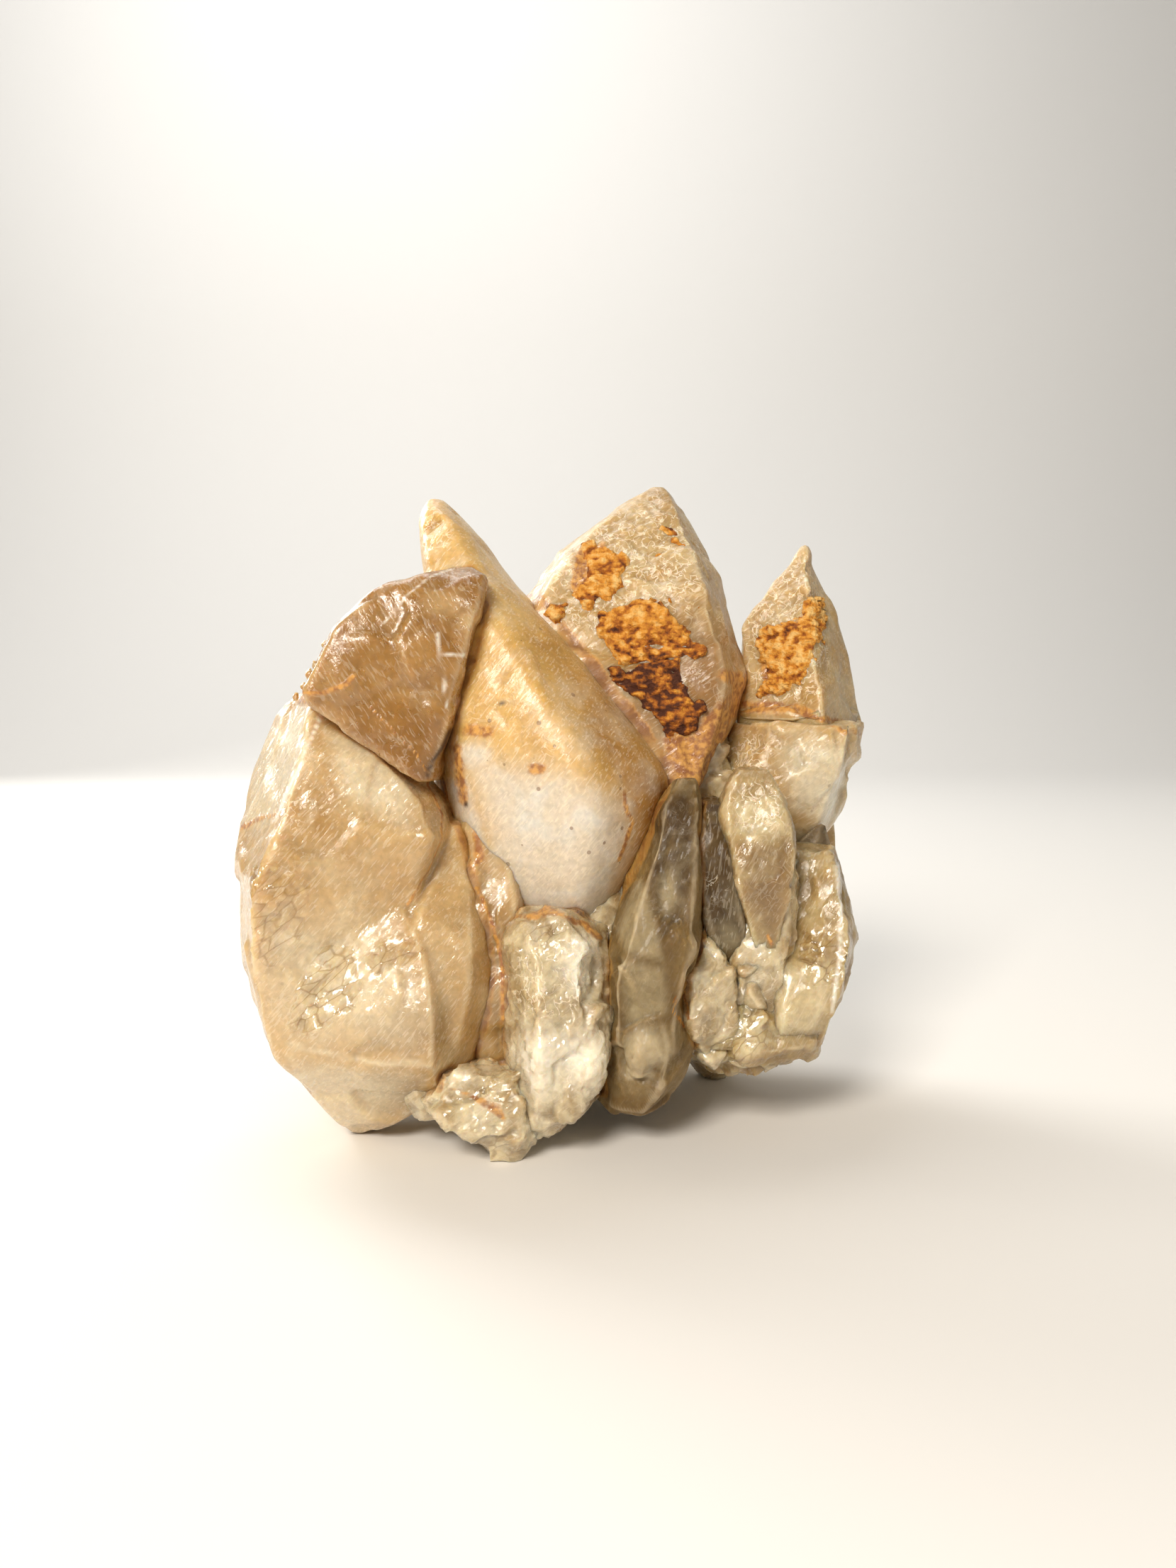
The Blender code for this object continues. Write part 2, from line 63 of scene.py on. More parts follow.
frontCrystals = {
    "left_tooth": {
        "finish": "glassy honey", "edges": (0, 50, 110, 165, 195, 235, 328, 350), "rounding": 0.14,
        "breaks": ((0.04, 14), (0.03, 3.5)),
        "levels": (
            (73, -38.5, -13, 7, 10), (71, -39, -12, 15, 20), (63, -37, -12, 26, 33),
            (56, -34.5, -11, 34, 41), (50, -33.5, -10.5, 35, 45), (43, -34.8, -10.5, 32, 45),
            (33.5, -37, -11, 27, 43), (23, -36.5, -12, 25, 36), (15, -35, -12, 19, 30),
        ),
        "cuts": (((-37.5, -21, 71), (-0.74, -0.43, 0.37)), ((-25, -30, 36), (0.35, -0.85, -0.35))),
        "marks": (
            ("rust line", 12, (384, 890), (415, 898), (440, 910), (480, 936), (512, 968)),
            # The milk patches paint light: on the top, in the shadow of the wedge, and on the bright left
            # face
            ("milk patch", 16, (410, 930), (470, 940), (530, 1000), (520, 1060), (440, 1010)),
            ("rust line", 5, (303, 1058), (320, 1050), (336, 1040), (351, 1040)),
            ("rust line", 2.5, (540, 985), (562, 1040), (560, 1070), (545, 1110), (520, 1155)),
            ("crack line", 1.5, (416, 897), (388, 960), (362, 1022), (351, 1046)),
            ("frost patch", 8, (351, 1003), (388, 996), (402, 1034), (375, 1056), (351, 1044)),
            ("milk patch", 20, (400, 900), (330, 930), (310, 1050), (350, 1050), (400, 960)),
            ("glass patch", 8, (320, 1110), (351, 1100), (394, 1127), (386, 1190), (344, 1236),
             (320, 1217)),
        ),
    },
    "lower_left_tooth": {
        "finish": "glassy honey", "edges": (5, 60, 115, 170, 212, 255, 305, 344), "rounding": 0.25,
        "levels": (
            (52, -15.5, -12, 2, 8), (43.5, -16.5, -12, 13, 22), (35.5, -18.5, -12.4, 22, 33),
            (27.5, -20, -13.2, 27, 37), (19.5, -21.5, -13.6, 27, 36), (11, -21.5, -13, 22, 28),
        ),
        "marks": (("rust line", 3, (606, 1130), (622, 1160), (634, 1200), (640, 1260), (636, 1330)),),
    },
    "lower_left_mass": {
        "finish": "glassy honey", "edges": (5, 60, 120, 178, 224, 303), "rounding": 0.2,
        "levels": (
            (46, -29, -13, 8, 14), (38, -29, -13, 26, 29), (31.5, -28.5, -13.5, 36, 35.5),
            (24, -29, -14, 42, 39), (17, -28.5, -14, 40, 38), (11, -26.5, -14, 32, 33),
            (5, -28, -14.5, 16, 22), (0.3, -32, -16, 3, 4),
        ),
        "cuts": (((-27, -33, 18), (-0.1, -0.78, -0.63)), ((-45, -29, 22), (-0.72, -0.66, -0.2))),
        "marks": (
            ("milk line", 4, (369, 1331), (425, 1344), (475, 1354), (530, 1356), (560, 1366)),
            ("glass patch", 6, (382, 1257), (413, 1207), (450, 1207), (462, 1257), (450, 1288),
             (394, 1320), (368, 1310)),
            ("glass patch", 5, (462, 1224), (493, 1201), (524, 1195), (542, 1213), (518, 1228),
             (481, 1246)),
            ("rust line", 3, (640, 1230), (642, 1280), (638, 1340)),
            ("milk patch", 60, (330, 1180), (480, 1180), (540, 1250), (520, 1330), (400, 1330),
             (330, 1260)),
            ("milk patch", 30, (370, 1350), (520, 1370), (500, 1420), (430, 1460), (380, 1400)),
            # The deep patches paint shade towards the bottom
            ("deep patch", 30, (470, 1300), (520, 1270), (570, 1280), (570, 1330), (520, 1345),
             (480, 1335)),
            ("deep patch", 16, (470, 1370), (540, 1375), (530, 1410), (480, 1430)),
        ),
    },
    "amber_strip": {
        "finish": "glassy honey", "edges": (0, 60, 120, 180, 235, 305), "rounding": 0.4,
        "breaks": ((0.15, 5),),
        "levels": (
            (56, -11, -12, 8, 10), (46, -10, -12, 13, 15), (37, -9, -12, 15, 19), (27, -8.5, -12.5, 15, 20),
            (16, -8.5, -12.5, 14, 19), (6, -9, -13, 8, 12),
        ),
        "marks": (
            ("deep patch", 20, (596, 1090), (640, 1150), (650, 1200), (640, 1340), (622, 1300),
             (610, 1160)),
            ("rust line", 4, (606, 1130), (622, 1160), (634, 1200), (640, 1230), (642, 1300)),
            ("rust patch", 10, (600, 1040), (616, 1060), (620, 1100), (604, 1110)),
        ),
    },
    "smoky_wedge": {
        "finish": "smoky", "edges": (352, 60, 120, 175, 215, 335), "rounding": 0.25, "breaks": ((0.04, 8),),
        "levels": (
            (93.5, -14.5, -12, 4, 6), (91.5, -16, -12, 12.5, 14), (89, -19, -12, 18.5, 20),
            (83.5, -23, -13, 24.5, 24), (78.5, -25, -13, 25.5, 26), (73.5, -27.5, -13, 26.5, 26),
            (68, -27, -13, 24, 25), (59, -20.5, -16, 5, 18),
        ),
        "cuts": (((-24, -20, 61), (-0.57, -0.08, -0.82)),),
        "marks": (
            ("rust line", 5, (384, 884), (410, 884), (440, 874), (452, 862)),
            ("rust line", 3, (470, 900), (500, 930), (530, 960), (545, 985)),
            ("dark line", 4, (573, 932), (566, 952), (552, 975), (545, 988)),
            ("crack line", 1.1, (558, 808), (561, 835), (563, 850), (566, 872), (571, 900)),
            ("crack line", 0.9, (560, 833), (580, 836), (603, 837)),
            ("crack line", 1, (575, 724), (548, 736), (526, 756), (508, 772), (488, 795)),
            ("milk spot", (600, 790), (16, 16)), ("milk spot", (565, 770), (26, 18)),
        ),
    },
    "main_tooth": {
        "finish": "satin honey", "edges": (8, 62, 118, 160, 197, 228, 285, 325), "rounding": 0.95,
        "waves": 0.45, "paleEdges": 0,
        "levels": (
            (107, -20.5, 4, 3, 5), (103.5, -19.5, 3, 9, 14), (98, -17, 2, 15.5, 24),
            (89.5, -13, 0, 23.5, 34), (80, -8.5, -1, 31, 42), (70.5, -4, -2, 38, 48), (60, 0.5, -3, 44, 50),
            (49, 1.5, -3, 41, 47), (40.5, 1.5, -3, 31, 40), (32, 0.5, -3, 21, 32), (24, 0, -3, 12.5, 22),
        ),
        "marks": (
            # The milk marks paint the sheen on the lower front, the highlight on the shoulder and light on
            # the shaded left facet; the deep patch paints shade on the right side
            ("milk patch", 34, (590, 960), (640, 975), (720, 985), (790, 1030), (800, 1090), (770, 1190),
             (655, 1190), (622, 1060)),
            ("milk spot", (606, 966), (26, 22)),
            ("milk patch", 10, (572, 1000), (596, 990), (618, 1060), (640, 1130), (610, 1110), (584, 1050)),
            ("rust line", 10, (583, 955), (586, 990), (590, 1020)),
            ("deep patch", 50, (700, 820), (830, 960), (870, 1010), (830, 1120), (790, 1180), (800, 1000)),
            ("rust spot", (612, 932), (30, 12)), ("rust spot", (684, 980), (17, 10)),
            ("rust line", 4, (797, 1012), (799, 1035), (808, 1048), (799, 1070), (789, 1098)),
            ("rust line", 5, (560, 970), (566, 1000), (572, 1030)),
            ("rust line", 4, (655, 1180), (700, 1172), (745, 1182), (768, 1196)),
            ("dark line", 4, (573, 932), (566, 952), (552, 975), (545, 988)),
            ("dark spot", (594, 1026), (3, 4)), ("dark spot", (641, 898), (5, 2)),
            ("frost patch", 10, (532, 655), (560, 640), (574, 670), (568, 700), (536, 700)),
        ),
        "chips": (("flat", (552, 672), 20, 0.6, (0.1, 0)), ("scoop", (596, 640), 10, 0.4)),
    },
    "granular_block": {
        "finish": "granular white", "edges": (10, 60, 120, 175, 215, 255, 300, 340), "rounding": 0.28,
        "breaks": ((0.2, 9), (0.15, 3), (0.12, 1.3)), "swell": 1,
        "levels": (
            (37, -0.5, -18, 9, 14), (33.5, 0.5, -18, 16, 22), (26, 0.5, -18, 16.5, 26),
            (18.5, 1, -18, 17.5, 27), (9, 0.2, -18, 15.5, 26), (3.5, -2.5, -19, 8, 16),
        ),
        "marks": (
            ("rust line", 5, (650, 1172), (700, 1168), (745, 1180), (768, 1196)),
            ("glass spot", (690, 1190), (34, 12)),
            ("frost patch", 8, (654, 1216), (700, 1210), (745, 1200), (760, 1240), (735, 1290),
             (690, 1300), (656, 1290)),
            ("milk spot", (740, 1230), (24, 36)), ("milk spot", (690, 1360), (30, 50)),
        ),
    },
    "round_lobe": {
        "finish": "granular white", "edges": (0, 45, 90, 135, 180, 225, 270, 315), "rounding": 0.5,
        "breaks": ((0.15, 4), (0.12, 1.3)),
        "levels": (
            (22.5, 5.3, -25, 4.5, 6), (20, 5.6, -26, 8, 11), (15.5, 5.8, -26.5, 9.5, 13),
            (11, 4.8, -25.5, 8, 11), (8.5, 3.8, -24, 4.5, 6),
        ),
        "marks": (("milk spot", (740, 1350), (40, 40)),),
    },
    "front_foot": {
        "finish": "granular white", "edges": (0, 60, 120, 180, 235, 305), "rounding": 0.17,
        "breaks": ((0.35, 4.5), (0.3, 2)),
        "levels": (
            (14, -10.5, -22, 20, 14), (8.5, -10.6, -23.5, 23, 17), (4, -8, -25.5, 14, 13),
            (0.2, -6.3, -27.5, 4, 4),
        ),
        "marks": (("rust patch", 6, (556, 1384), (600, 1392), (640, 1410), (650, 1440), (600, 1400)),),
        "chips": (("flat", (628, 1466), 24, 0.5, (0, 0.1)),),
    },
    "grey_tooth": {
        "finish": "grey", "edges": (0, 60, 120, 180, 232, 305), "rounding": 0.19,
        "breaks": ((0.1, 8), (0.06, 2.2)), "swell": 0.9,
        "levels": (
            (58, 22, -14, 2.5, 5), (54, 21, -14, 7, 12), (47.5, 19.5, -14, 9, 17),
            (41, 18.5, -15, 11.5, 21), (34.5, 17.5, -15, 15, 25), (28, 15.5, -15, 15, 26),
            (19, 15, -15, 12, 22),
        ),
        "marks": (
            ("milk patch", 6, (787, 1186), (812, 1120), (824, 1130), (838, 1190), (846, 1226), (796, 1214)),
            ("milk spot", (852, 1142), (12, 26)),
            ("deep patch", 16, (830, 1030), (880, 1005), (890, 1060), (884, 1120), (850, 1190),
             (826, 1110)),
        ),
    },
    "grey_root": {
        "finish": "grey", "edges": (10, 70, 130, 190, 235, 280, 325), "rounding": 0.28,
        "breaks": ((0.16, 7), (0.08, 2.5)), "swell": 1.2,
        "levels": (
            (24, 15, -14, 13, 22), (17, 17, -14, 12.5, 26), (11.5, 16, -14, 12, 26),
            (7.5, 13.5, -14, 11.5, 22), (5, 13.2, -12, 9, 14),
        ),
        "marks": (
            ("milk spot", (822, 1338), (32, 32)),
            ("milk patch", 10, (790, 1222), (846, 1236), (850, 1290), (800, 1310)),
            ("rust line", 3, (862, 1270), (858, 1290), (872, 1310)),
        ),
    },
    "grey_knob": {
        "finish": "grey", "edges": (0, 45, 90, 135, 180, 225, 270, 315), "rounding": 0.5,
        "levels": (
            (21.5, 14.6, -25, 3.5, 5), (19.5, 14.8, -26.2, 7, 8), (16, 15, -26.6, 8, 9),
            (13, 14.6, -26, 5, 6),
        ),
    },
    "small_smoky_tooth": {
        "finish": "dark smoky", "edges": (0, 60, 120, 180, 225, 315), "rounding": 0.2,
        "breaks": ((0.12, 5), (0.12, 2)), "swell": 0.5,
        "levels": (
            (54.5, 26.8, -12, 4, 7), (51, 26.6, -12, 6.6, 12), (45, 26.4, -12, 7, 15),
            (38, 27.6, -12, 7, 16), (33, 29.3, -12, 6.4, 14), (28, 30, -12, 5, 10),
        ),
        "marks": (("frost spot", (912, 1130), (14, 16)), ("milk spot", (930, 1195), (16, 20))),
    },
    "small_pale_tooth": {
        "finish": "pale yellow", "edges": (0, 60, 120, 180, 210, 330), "rounding": 0.22,
        "breaks": ((0.08, 7), (0.1, 2.2)), "swell": 0.5,
        "levels": (
            (60, 33.2, -11, 5, 8), (57.5, 32.6, -11, 8, 12), (53.3, 33.2, -11.5, 11.4, 16),
            (48, 34, -12, 11.8, 18), (42, 34.4, -12.5, 10.2, 18.4), (37, 34.4, -12.5, 7, 17),
            (32, 34.8, -12.5, 3, 14),
        ),
        "marks": (
            ("frost patch", 8, (935, 1020), (965, 995), (995, 1010), (1000, 1045), (970, 1060),
             (940, 1056)),
            ("milk patch", 12, (932, 1030), (990, 1010), (1005, 1060), (960, 1075), (940, 1060)),
            ("deep patch", 24, (950, 1080), (1005, 1080), (1000, 1160), (985, 1210), (960, 1150)),
            ("rust line", 4, (980, 1195), (984, 1205)),
        ),
    },
    "right_low_tooth": {
        "finish": "pale yellow", "edges": (10, 70, 130, 180, 208, 300), "rounding": 0.19,
        "breaks": ((0.08, 7), (0.12, 3)),
        "levels": (
            (46.5, 44, -6, 8.5, 12), (42.5, 45, -6, 10, 17), (37, 44.2, -6.5, 13.5, 23),
            (32, 44.4, -7, 16.2, 27), (27, 43, -7.5, 16.5, 28.5), (21, 41.8, -7.5, 14.5, 27),
            (16, 41.5, -7, 11, 22), (11, 41.5, -5, 6, 12),
        ),
        "marks": (
            ("glass patch", 6, (1020, 1190), (1068, 1190), (1066, 1250), (1040, 1256), (1020, 1230)),
            ("crack line", 2, (1066, 1105), (1074, 1150), (1070, 1220), (1062, 1290)),
            ("rust line", 8, (1092, 1170), (1094, 1200), (1088, 1240)),
            # The milk patch paints light on the lower face, which lies in shade
            ("milk patch", 14, (1000, 1230), (1066, 1230), (1050, 1310), (990, 1320), (985, 1280)),
        ),
    },
    "right_low_fill": {
        "finish": "granular white", "edges": (0, 60, 120, 180, 240, 300), "rounding": 0.2,
        "breaks": ((0.25, 4), (0.2, 2)),
        "levels": (
            (52, 34, -8, 9, 12), (42, 35.5, -9.5, 14, 17), (32, 34.5, -10.5, 15, 19), (24, 33, -11, 15, 19),
            (16, 33, -10, 10, 14),
        ),
    },
    "right_low_point": {
        "finish": "granular white", "edges": (0, 80, 150, 205, 250, 320), "rounding": 0.15,
        "breaks": ((0.28, 4.5), (0.25, 1.8)),
        "levels": (
            (35, 25.6, -18, 1, 3), (31, 25, -17.5, 6.4, 9), (28, 24.8, -17, 11, 14),
            (24, 24.8, -16.5, 12.5, 17), (18, 25.5, -16, 12, 17), (13, 27, -14, 8, 12),
        ),
        "marks": (("rust line", 3, (872, 1250), (870, 1280), (880, 1300)),),
    },
    "right_low_root": {
        "finish": "pale yellow", "edges": (0, 55, 115, 175, 225, 270, 315), "rounding": 0.2,
        "breaks": ((0.4, 6), (0.3, 2.4)), "swell": 0.6,
        "levels": (
            (25, 36, -9, 12, 16), (20.5, 33.2, -11, 23, 23), (16, 33.2, -11.5, 24.5, 25),
            (12, 31.5, -10.5, 16, 18), (9.5, 30, -9, 5, 8),
        ),
        "marks": (
            ("glass patch", 8, (922, 1296), (975, 1296), (985, 1330), (950, 1350), (920, 1340)),
            ("milk patch", 10, (930, 1300), (975, 1300), (985, 1330), (950, 1350)),
        ),
    },
    "right_low_face": {
        "finish": "pale yellow", "edges": (5, 60, 120, 180, 238, 310), "rounding": 0.5,
        "levels": (
            (29.5, 39.5, -12, 8, 12), (25.5, 39.8, -12.5, 12.5, 20), (19, 39.2, -12.5, 12.5, 22),
            (15, 38, -12, 9, 17), (12.5, 37, -11, 4, 8),
        ),
        "marks": (("glass patch", 8, (960, 1250), (990, 1240), (1000, 1260), (980, 1280), (960, 1275)),),
    },
    "right_root": {
        "finish": "sandy", "edges": (12, 70, 130, 195, 235, 300), "rounding": 0.33, "breaks": ((0.12, 8),),
        "swell": 0.3,
        "levels": (
            (67, 45, 13, 25, 31), (62.5, 44, 12, 26.5, 33), (57.5, 42, 11, 27, 31), (53, 40.5, 10, 27, 27),
            (49, 40, 9, 24.5, 21), (44, 43.5, 8, 3, 10),
        ),
        "marks": (
            ("rust line", 8, (941, 908), (977, 900), (1016, 905), (1055, 920), (1106, 940)),
            # The milk patch is partly milky calcite, partly a painted highlight on the bulge
            ("milk patch", 16, (1000, 950), (1080, 950), (1100, 1000), (1060, 1060), (1010, 1030)),
            ("frost patch", 8, (905, 1000), (925, 960), (950, 935), (985, 935), (975, 975), (940, 1010)),
        ),
    },
    "right_upper_ledge": {
        "finish": "sandy", "edges": (12, 70, 130, 200, 276), "rounding": 0.16,
        "levels": ((70, 45.4, 14, 23.2, 29.6), (69.2, 45.3, 13.8, 24.4, 31), (68.2, 45.2, 13.8, 24, 30.6)),
        "marks": (("rust line", 8, (935, 905), (1016, 905), (1055, 925), (1108, 938)),),
    },
    "right_lower_ledge": {
        "finish": "sandy", "edges": (12, 70, 130, 200, 276), "rounding": 0.16,
        "levels": ((66.4, 44.6, 13.4, 24.2, 31), (65.2, 44.3, 13, 25.6, 32.6), (63.6, 44.1, 12.6, 25, 32)),
        "marks": (("rust line", 6, (935, 925), (1016, 925), (1055, 945), (1108, 955)),),
    },
    "right_tooth": {
        "finish": "sandy", "edges": (12, 70, 130, 200, 276), "rounding": 0.19,
        "levels": (
            (99.5, 46, 14, 1, 2), (95.5, 45.5, 14, 5.5, 8), (91.5, 45, 14, 12.5, 15),
            (85, 43.5, 14, 19.5, 21), (77.5, 45, 14, 21, 26), (72, 46, 14, 22.5, 29),
            (66.5, 46, 14, 25, 31),
        ),
        "marks": (
            ("frost patch", 12, (945, 790), (1000, 735), (1030, 705), (1052, 780), (1050, 890),
             (980, 900), (945, 860)),
            ("rust patch", 8, (962, 816), (980, 800), (1012, 792), (1032, 768), (1050, 768), (1044, 816),
             (1030, 850), (1008, 880), (975, 890)),
            ("rust line", 8, (941, 900), (977, 898), (1016, 903), (1055, 918), (1106, 936)),
        ),
    },
    "back_tooth": {
        "finish": "sandy", "edges": (0, 60, 120, 180, 222, 318), "rounding": 0.28, "breaks": ((0.08, 10),),
        "levels": (
            (111, 19, 18, 2.5, 3), (108.5, 18, 18, 9.5, 10), (105.5, 16.5, 18, 17, 18),
            (99.5, 14, 17, 26.5, 26), (94, 13, 16, 34, 32), (85, 11.5, 15, 43.5, 38),
            (76, 11.5, 14, 49, 40), (67.5, 12, 12, 43.5, 38), (56, 12.5, 8, 30, 32),
        ),
        "marks": (
            ("frost patch", 20, (690, 740), (770, 660), (840, 630), (880, 660), (900, 730), (880, 790),
             (760, 800)),
            ("rust patch", 8, (735, 695), (770, 690), (795, 730), (780, 760), (740, 765), (725, 750)),
            ("deep patch", 40, (860, 780), (930, 800), (940, 870), (900, 1000), (840, 960), (780, 860)),
            ("rust line", 14, (925, 860), (946, 870), (930, 910), (880, 950)),
            ("rust patch", 12, (840, 936), (880, 930), (930, 880), (930, 1010), (860, 1010)),
        ),
    },
}
print("crystals listed:", len(frontCrystals))

# The lumpy root and its rear feet, as in the solid
rootCrystals = {
    "root_mass": {
        "finish": "granular white", "edges": (15, 60, 105, 150, 195, 240, 285, 330), "rounding": 0.33,
        "breaks": ((0.5, 6), (0.4, 2.2)),
        "levels": (
            (76, 10, 10, 30, 20), (62, 4, 9, 44, 24), (50, 2, 6, 74, 34), (40, 1, 4, 80, 40),
            (28, 0, 3, 80, 44), (14, -1, 4, 62, 40), (8, -3, 6, 42, 30),
        ),
    },
    "back_left_foot": {
        "finish": "granular white", "edges": (20, 80, 140, 200, 260, 320), "rounding": 0.17,
        "breaks": ((0.25, 5), (0.2, 2)),
        "levels": ((16, -20, 16, 24, 20), (5, -23, 19, 13, 13), (0, -24, 20, 6, 6)),
    },
    "back_right_foot": {
        "finish": "granular white", "edges": (0, 60, 120, 180, 240, 300), "rounding": 0.17,
        "breaks": ((0.25, 5), (0.2, 2)),
        "levels": ((18, 25, 10, 24, 20), (5, 29, 13, 12, 12), (0, 30, 14, 6, 6)),
    },
}

# Teeth of the back and sides: tip, foot of the axis, width, depth, first edge's direction, finish
backTeeth = {
    "back_left_tooth": ((-30, 24, 83), (-20, 14, 20), 31, 27, 15, "glassy honey"),
    "back_right_tooth": ((34, 33, 79), (24, 16, 20), 28, 26, 40, "satin honey"),
    "left_side_tooth": ((-48, 13, 57), (-30, 9, 16), 21, 22, 5, "smoky"),
    "right_side_tooth": ((51, 21, 53), (36, 12, 14), 20, 22, 25, "sandy"),
    "back_low_tooth": ((4, 37, 55), (3, 19, 10), 26, 22, 50, "pale yellow"),
    "back_low_left_tooth": ((-22, 36, 42), (-12, 20, 6), 19, 18, 10, "grey"),
    "back_low_right_tooth": ((22, 37, 38), (16, 20, 6), 19, 16, 35, "glassy honey"),
}
gapPoints = {
    "white_point": ((-21, -27.5, 14), (-19.5, -23, 5), 6.5, 6, 20, "granular white"),
    "yellow_point_left": ((-15, -28, 12), (-12.5, -22, 2.5), 6, 6, 0, "pale yellow"),
    "yellow_point_low": ((-11.5, -29, 9), (-10, -23, 1.5), 5.5, 5.5, 30, "pale yellow"),
    "glassy_point": ((30, -17.5, 36), (30.5, -12, 27), 3.6, 4, 10, "grey"),
    "grey_gap_point": ((21, -21, 23), (19, -13, 12), 7, 7, 20, "grey"),
    "matrix_point": ((47, -2, 50), (42, 2, 38), 9, 9, 25, "dark matrix"),
}
# How a tooth swells from its tip to its foot: share of the length, share of the girth
toothSwell = ((0, 0.07), (0.05, 0.24), (0.17, 0.52), (0.36, 0.84), (0.56, 1), (0.76, 0.9), (1, 0.6))
pointSwell = ((0, 0.1), (0.3, 0.72), (0.6, 1), (1, 0.75))
toothSides = 6
pointRounding = 0.16


# Lattice randoms: each whole-number place and seed gives its own value from 0 to 1, by mixing the bits
def latticeRandom(cells, seed):
    n = cells @ np.array([374761393, 668265263, 1440662683]) + seed * 1274126177
    n = n & 0xFFFFFFFF
    for shift, factor in ((13, 1274126177), (15, 2246822519)):
        n = ((n ^ (n >> shift)) * factor) & 0xFFFFFFFF
    return ((n ^ (n >> 16)) & 0xFFFFFF) / 0xFFFFFF


# Smooth noise from -1 to 1: the randoms at the eight corners of a cell, blended with an S curve
def smoothNoise(points, size, seed):
    spot = points / size
    low = np.floor(spot)
    part = spot - low
    part = part * part * (3 - 2 * part)
    low = low.astype(np.int64)
    total = 0
    for corner in itertools.product((0, 1), repeat=3):
        share = np.where(corner, part, 1 - part).prod(axis=1)
        total = total + share * latticeRandom(low + corner, seed)
    return total * 2 - 1


# Clouds: smooth noise with finer and fainter octaves added
def cloudNoise(points, size, seed, octaves=3):
    return sum(smoothNoise(points, size / 2 ** n, seed + n) * 0.5 ** n for n in range(octaves))


# The 27 cells round each place, one after another: each has a spot and a lean of its own. Gives the square
# of the distance to the spot, and how far the place is from it along the lean, in cells
def cellsNear(points, size, seed):
    spot = points / size
    base = np.floor(spot).astype(np.int64)
    for step in itertools.product((-1, 0, 1), repeat=3):
        cell = base + step
        draws = [latticeRandom(cell, seed + n) for n in range(6)]
        away = spot - cell - np.stack(draws[:3], axis=1)
        tilt = np.stack(draws[3:], axis=1) * 2 - 1
        yield (away * away).sum(axis=1), (away * tilt).sum(axis=1)


# Grains: the least squared distance to a cell's spot, tipped by its lean. It is 0 at a grain's middle and
# meets the next grain in a crease
def grainNoise(points, size, seed, lean=0.5):
    return np.min([far + lean * along for far, along in cellsNear(points, size, seed)], axis=0)


# Broken faces: every cell has a plane through its spot, leaning its own way, and the planes meet in
# creases because the nearest outweighs the rest. In mm
def facetNoise(points, size, seed, crisp=60):
    total, weight = 0, 1e-12
    for far, along in cellsNear(points, size, seed):
        share = np.exp(-crisp * far)
        total = total + share * along
        weight = weight + share
    return total / weight * size


# Corners of one level ring: the edge directions on a circle, stretched to the ring's width and depth
def ringCorners(level, edges):
    height, middleX, middleY, width, depth = level
    turns = np.radians(edges)
    ring = np.stack([np.cos(turns), np.sin(turns)], axis=1)
    ring = (ring - (ring.max(axis=0) + ring.min(axis=0)) / 2) / np.ptp(ring, axis=0)
    ring = ring * (width, depth) + (middleX, middleY)
    return np.column_stack([ring, np.full(len(edges), float(height))])


# Rings of a tooth whose axis runs from its tip to its foot and whose girth follows the swell
def toothShape(tip, foot, width, depth, turn, finish, swell=toothSwell):
    along = np.array(swell)
    axis = np.array(tip) + (np.array(foot) - np.array(tip)) * along[:, :1]
    levels = tuple((z, x, y, width * girth, depth * girth) for (x, y, z), girth in zip(axis, along[:, 1]))
    edges = tuple(turn + 360 / toothSides * side for side in range(toothSides))
    return {"edges": edges, "levels": levels, "rounding": 0.25, "finish": finish}


# Flat faces round a set of corners: every plane through three of them that has all the others behind it,
# and the cuts, as outward directions and how far out each lies along its direction; and the box round them
def facesRound(corners, cuts=(), swell=0):
    three = np.array(list(itertools.combinations(range(len(corners)), 3)))
    a, b, c = (corners[three[:, n]] for n in range(3))
    out = np.cross(b - a, c - a)
    size = np.linalg.norm(out, axis=1)
    keep = size > 1e-3 * np.ptp(corners, axis=0).max()
    out, a = out[keep] / size[keep, None], a[keep]
    height = (out * a).sum(axis=1)
    ahead = out @ corners.T - height[:, None]
    outward, inward = ahead.max(axis=1) < 0.01, ahead.min(axis=1) > -0.01
    planes = np.column_stack([out, height])
    planes = np.concatenate([planes[outward], -planes[inward]])
    alike = np.unique((planes * (500, 500, 500, 20)).round().astype(int), axis=0, return_index=True)[1]
    planes = planes[np.sort(alike)]
    for point, looks in cuts:
        out = np.array(looks) / np.linalg.norm(looks)
        planes = np.vstack([planes, np.append(out, out @ np.array(point))])
    return {
        "out": planes[:, :3], "height": planes[:, 3] + swell,
        "low": corners.min(axis=0) - swell, "high": corners.max(axis=0) + swell,
    }


# A crystal's flat faces, round the corners of its level rings
def crystalFaces(shape):
    corners = np.concatenate([ringCorners(level, shape["edges"]) for level in shape["levels"]])
    return facesRound(corners, shape.get("cuts", ()), shape.get("swell", 0))


# Four-cornered faces of a grid of points, row after row
def gridQuads(rows, columns):
    corner = (np.arange(rows - 1)[:, None] * columns + np.arange(columns - 1)).ravel()
    return np.stack([corner, corner + columns, corner + columns + 1, corner + 1], axis=1)


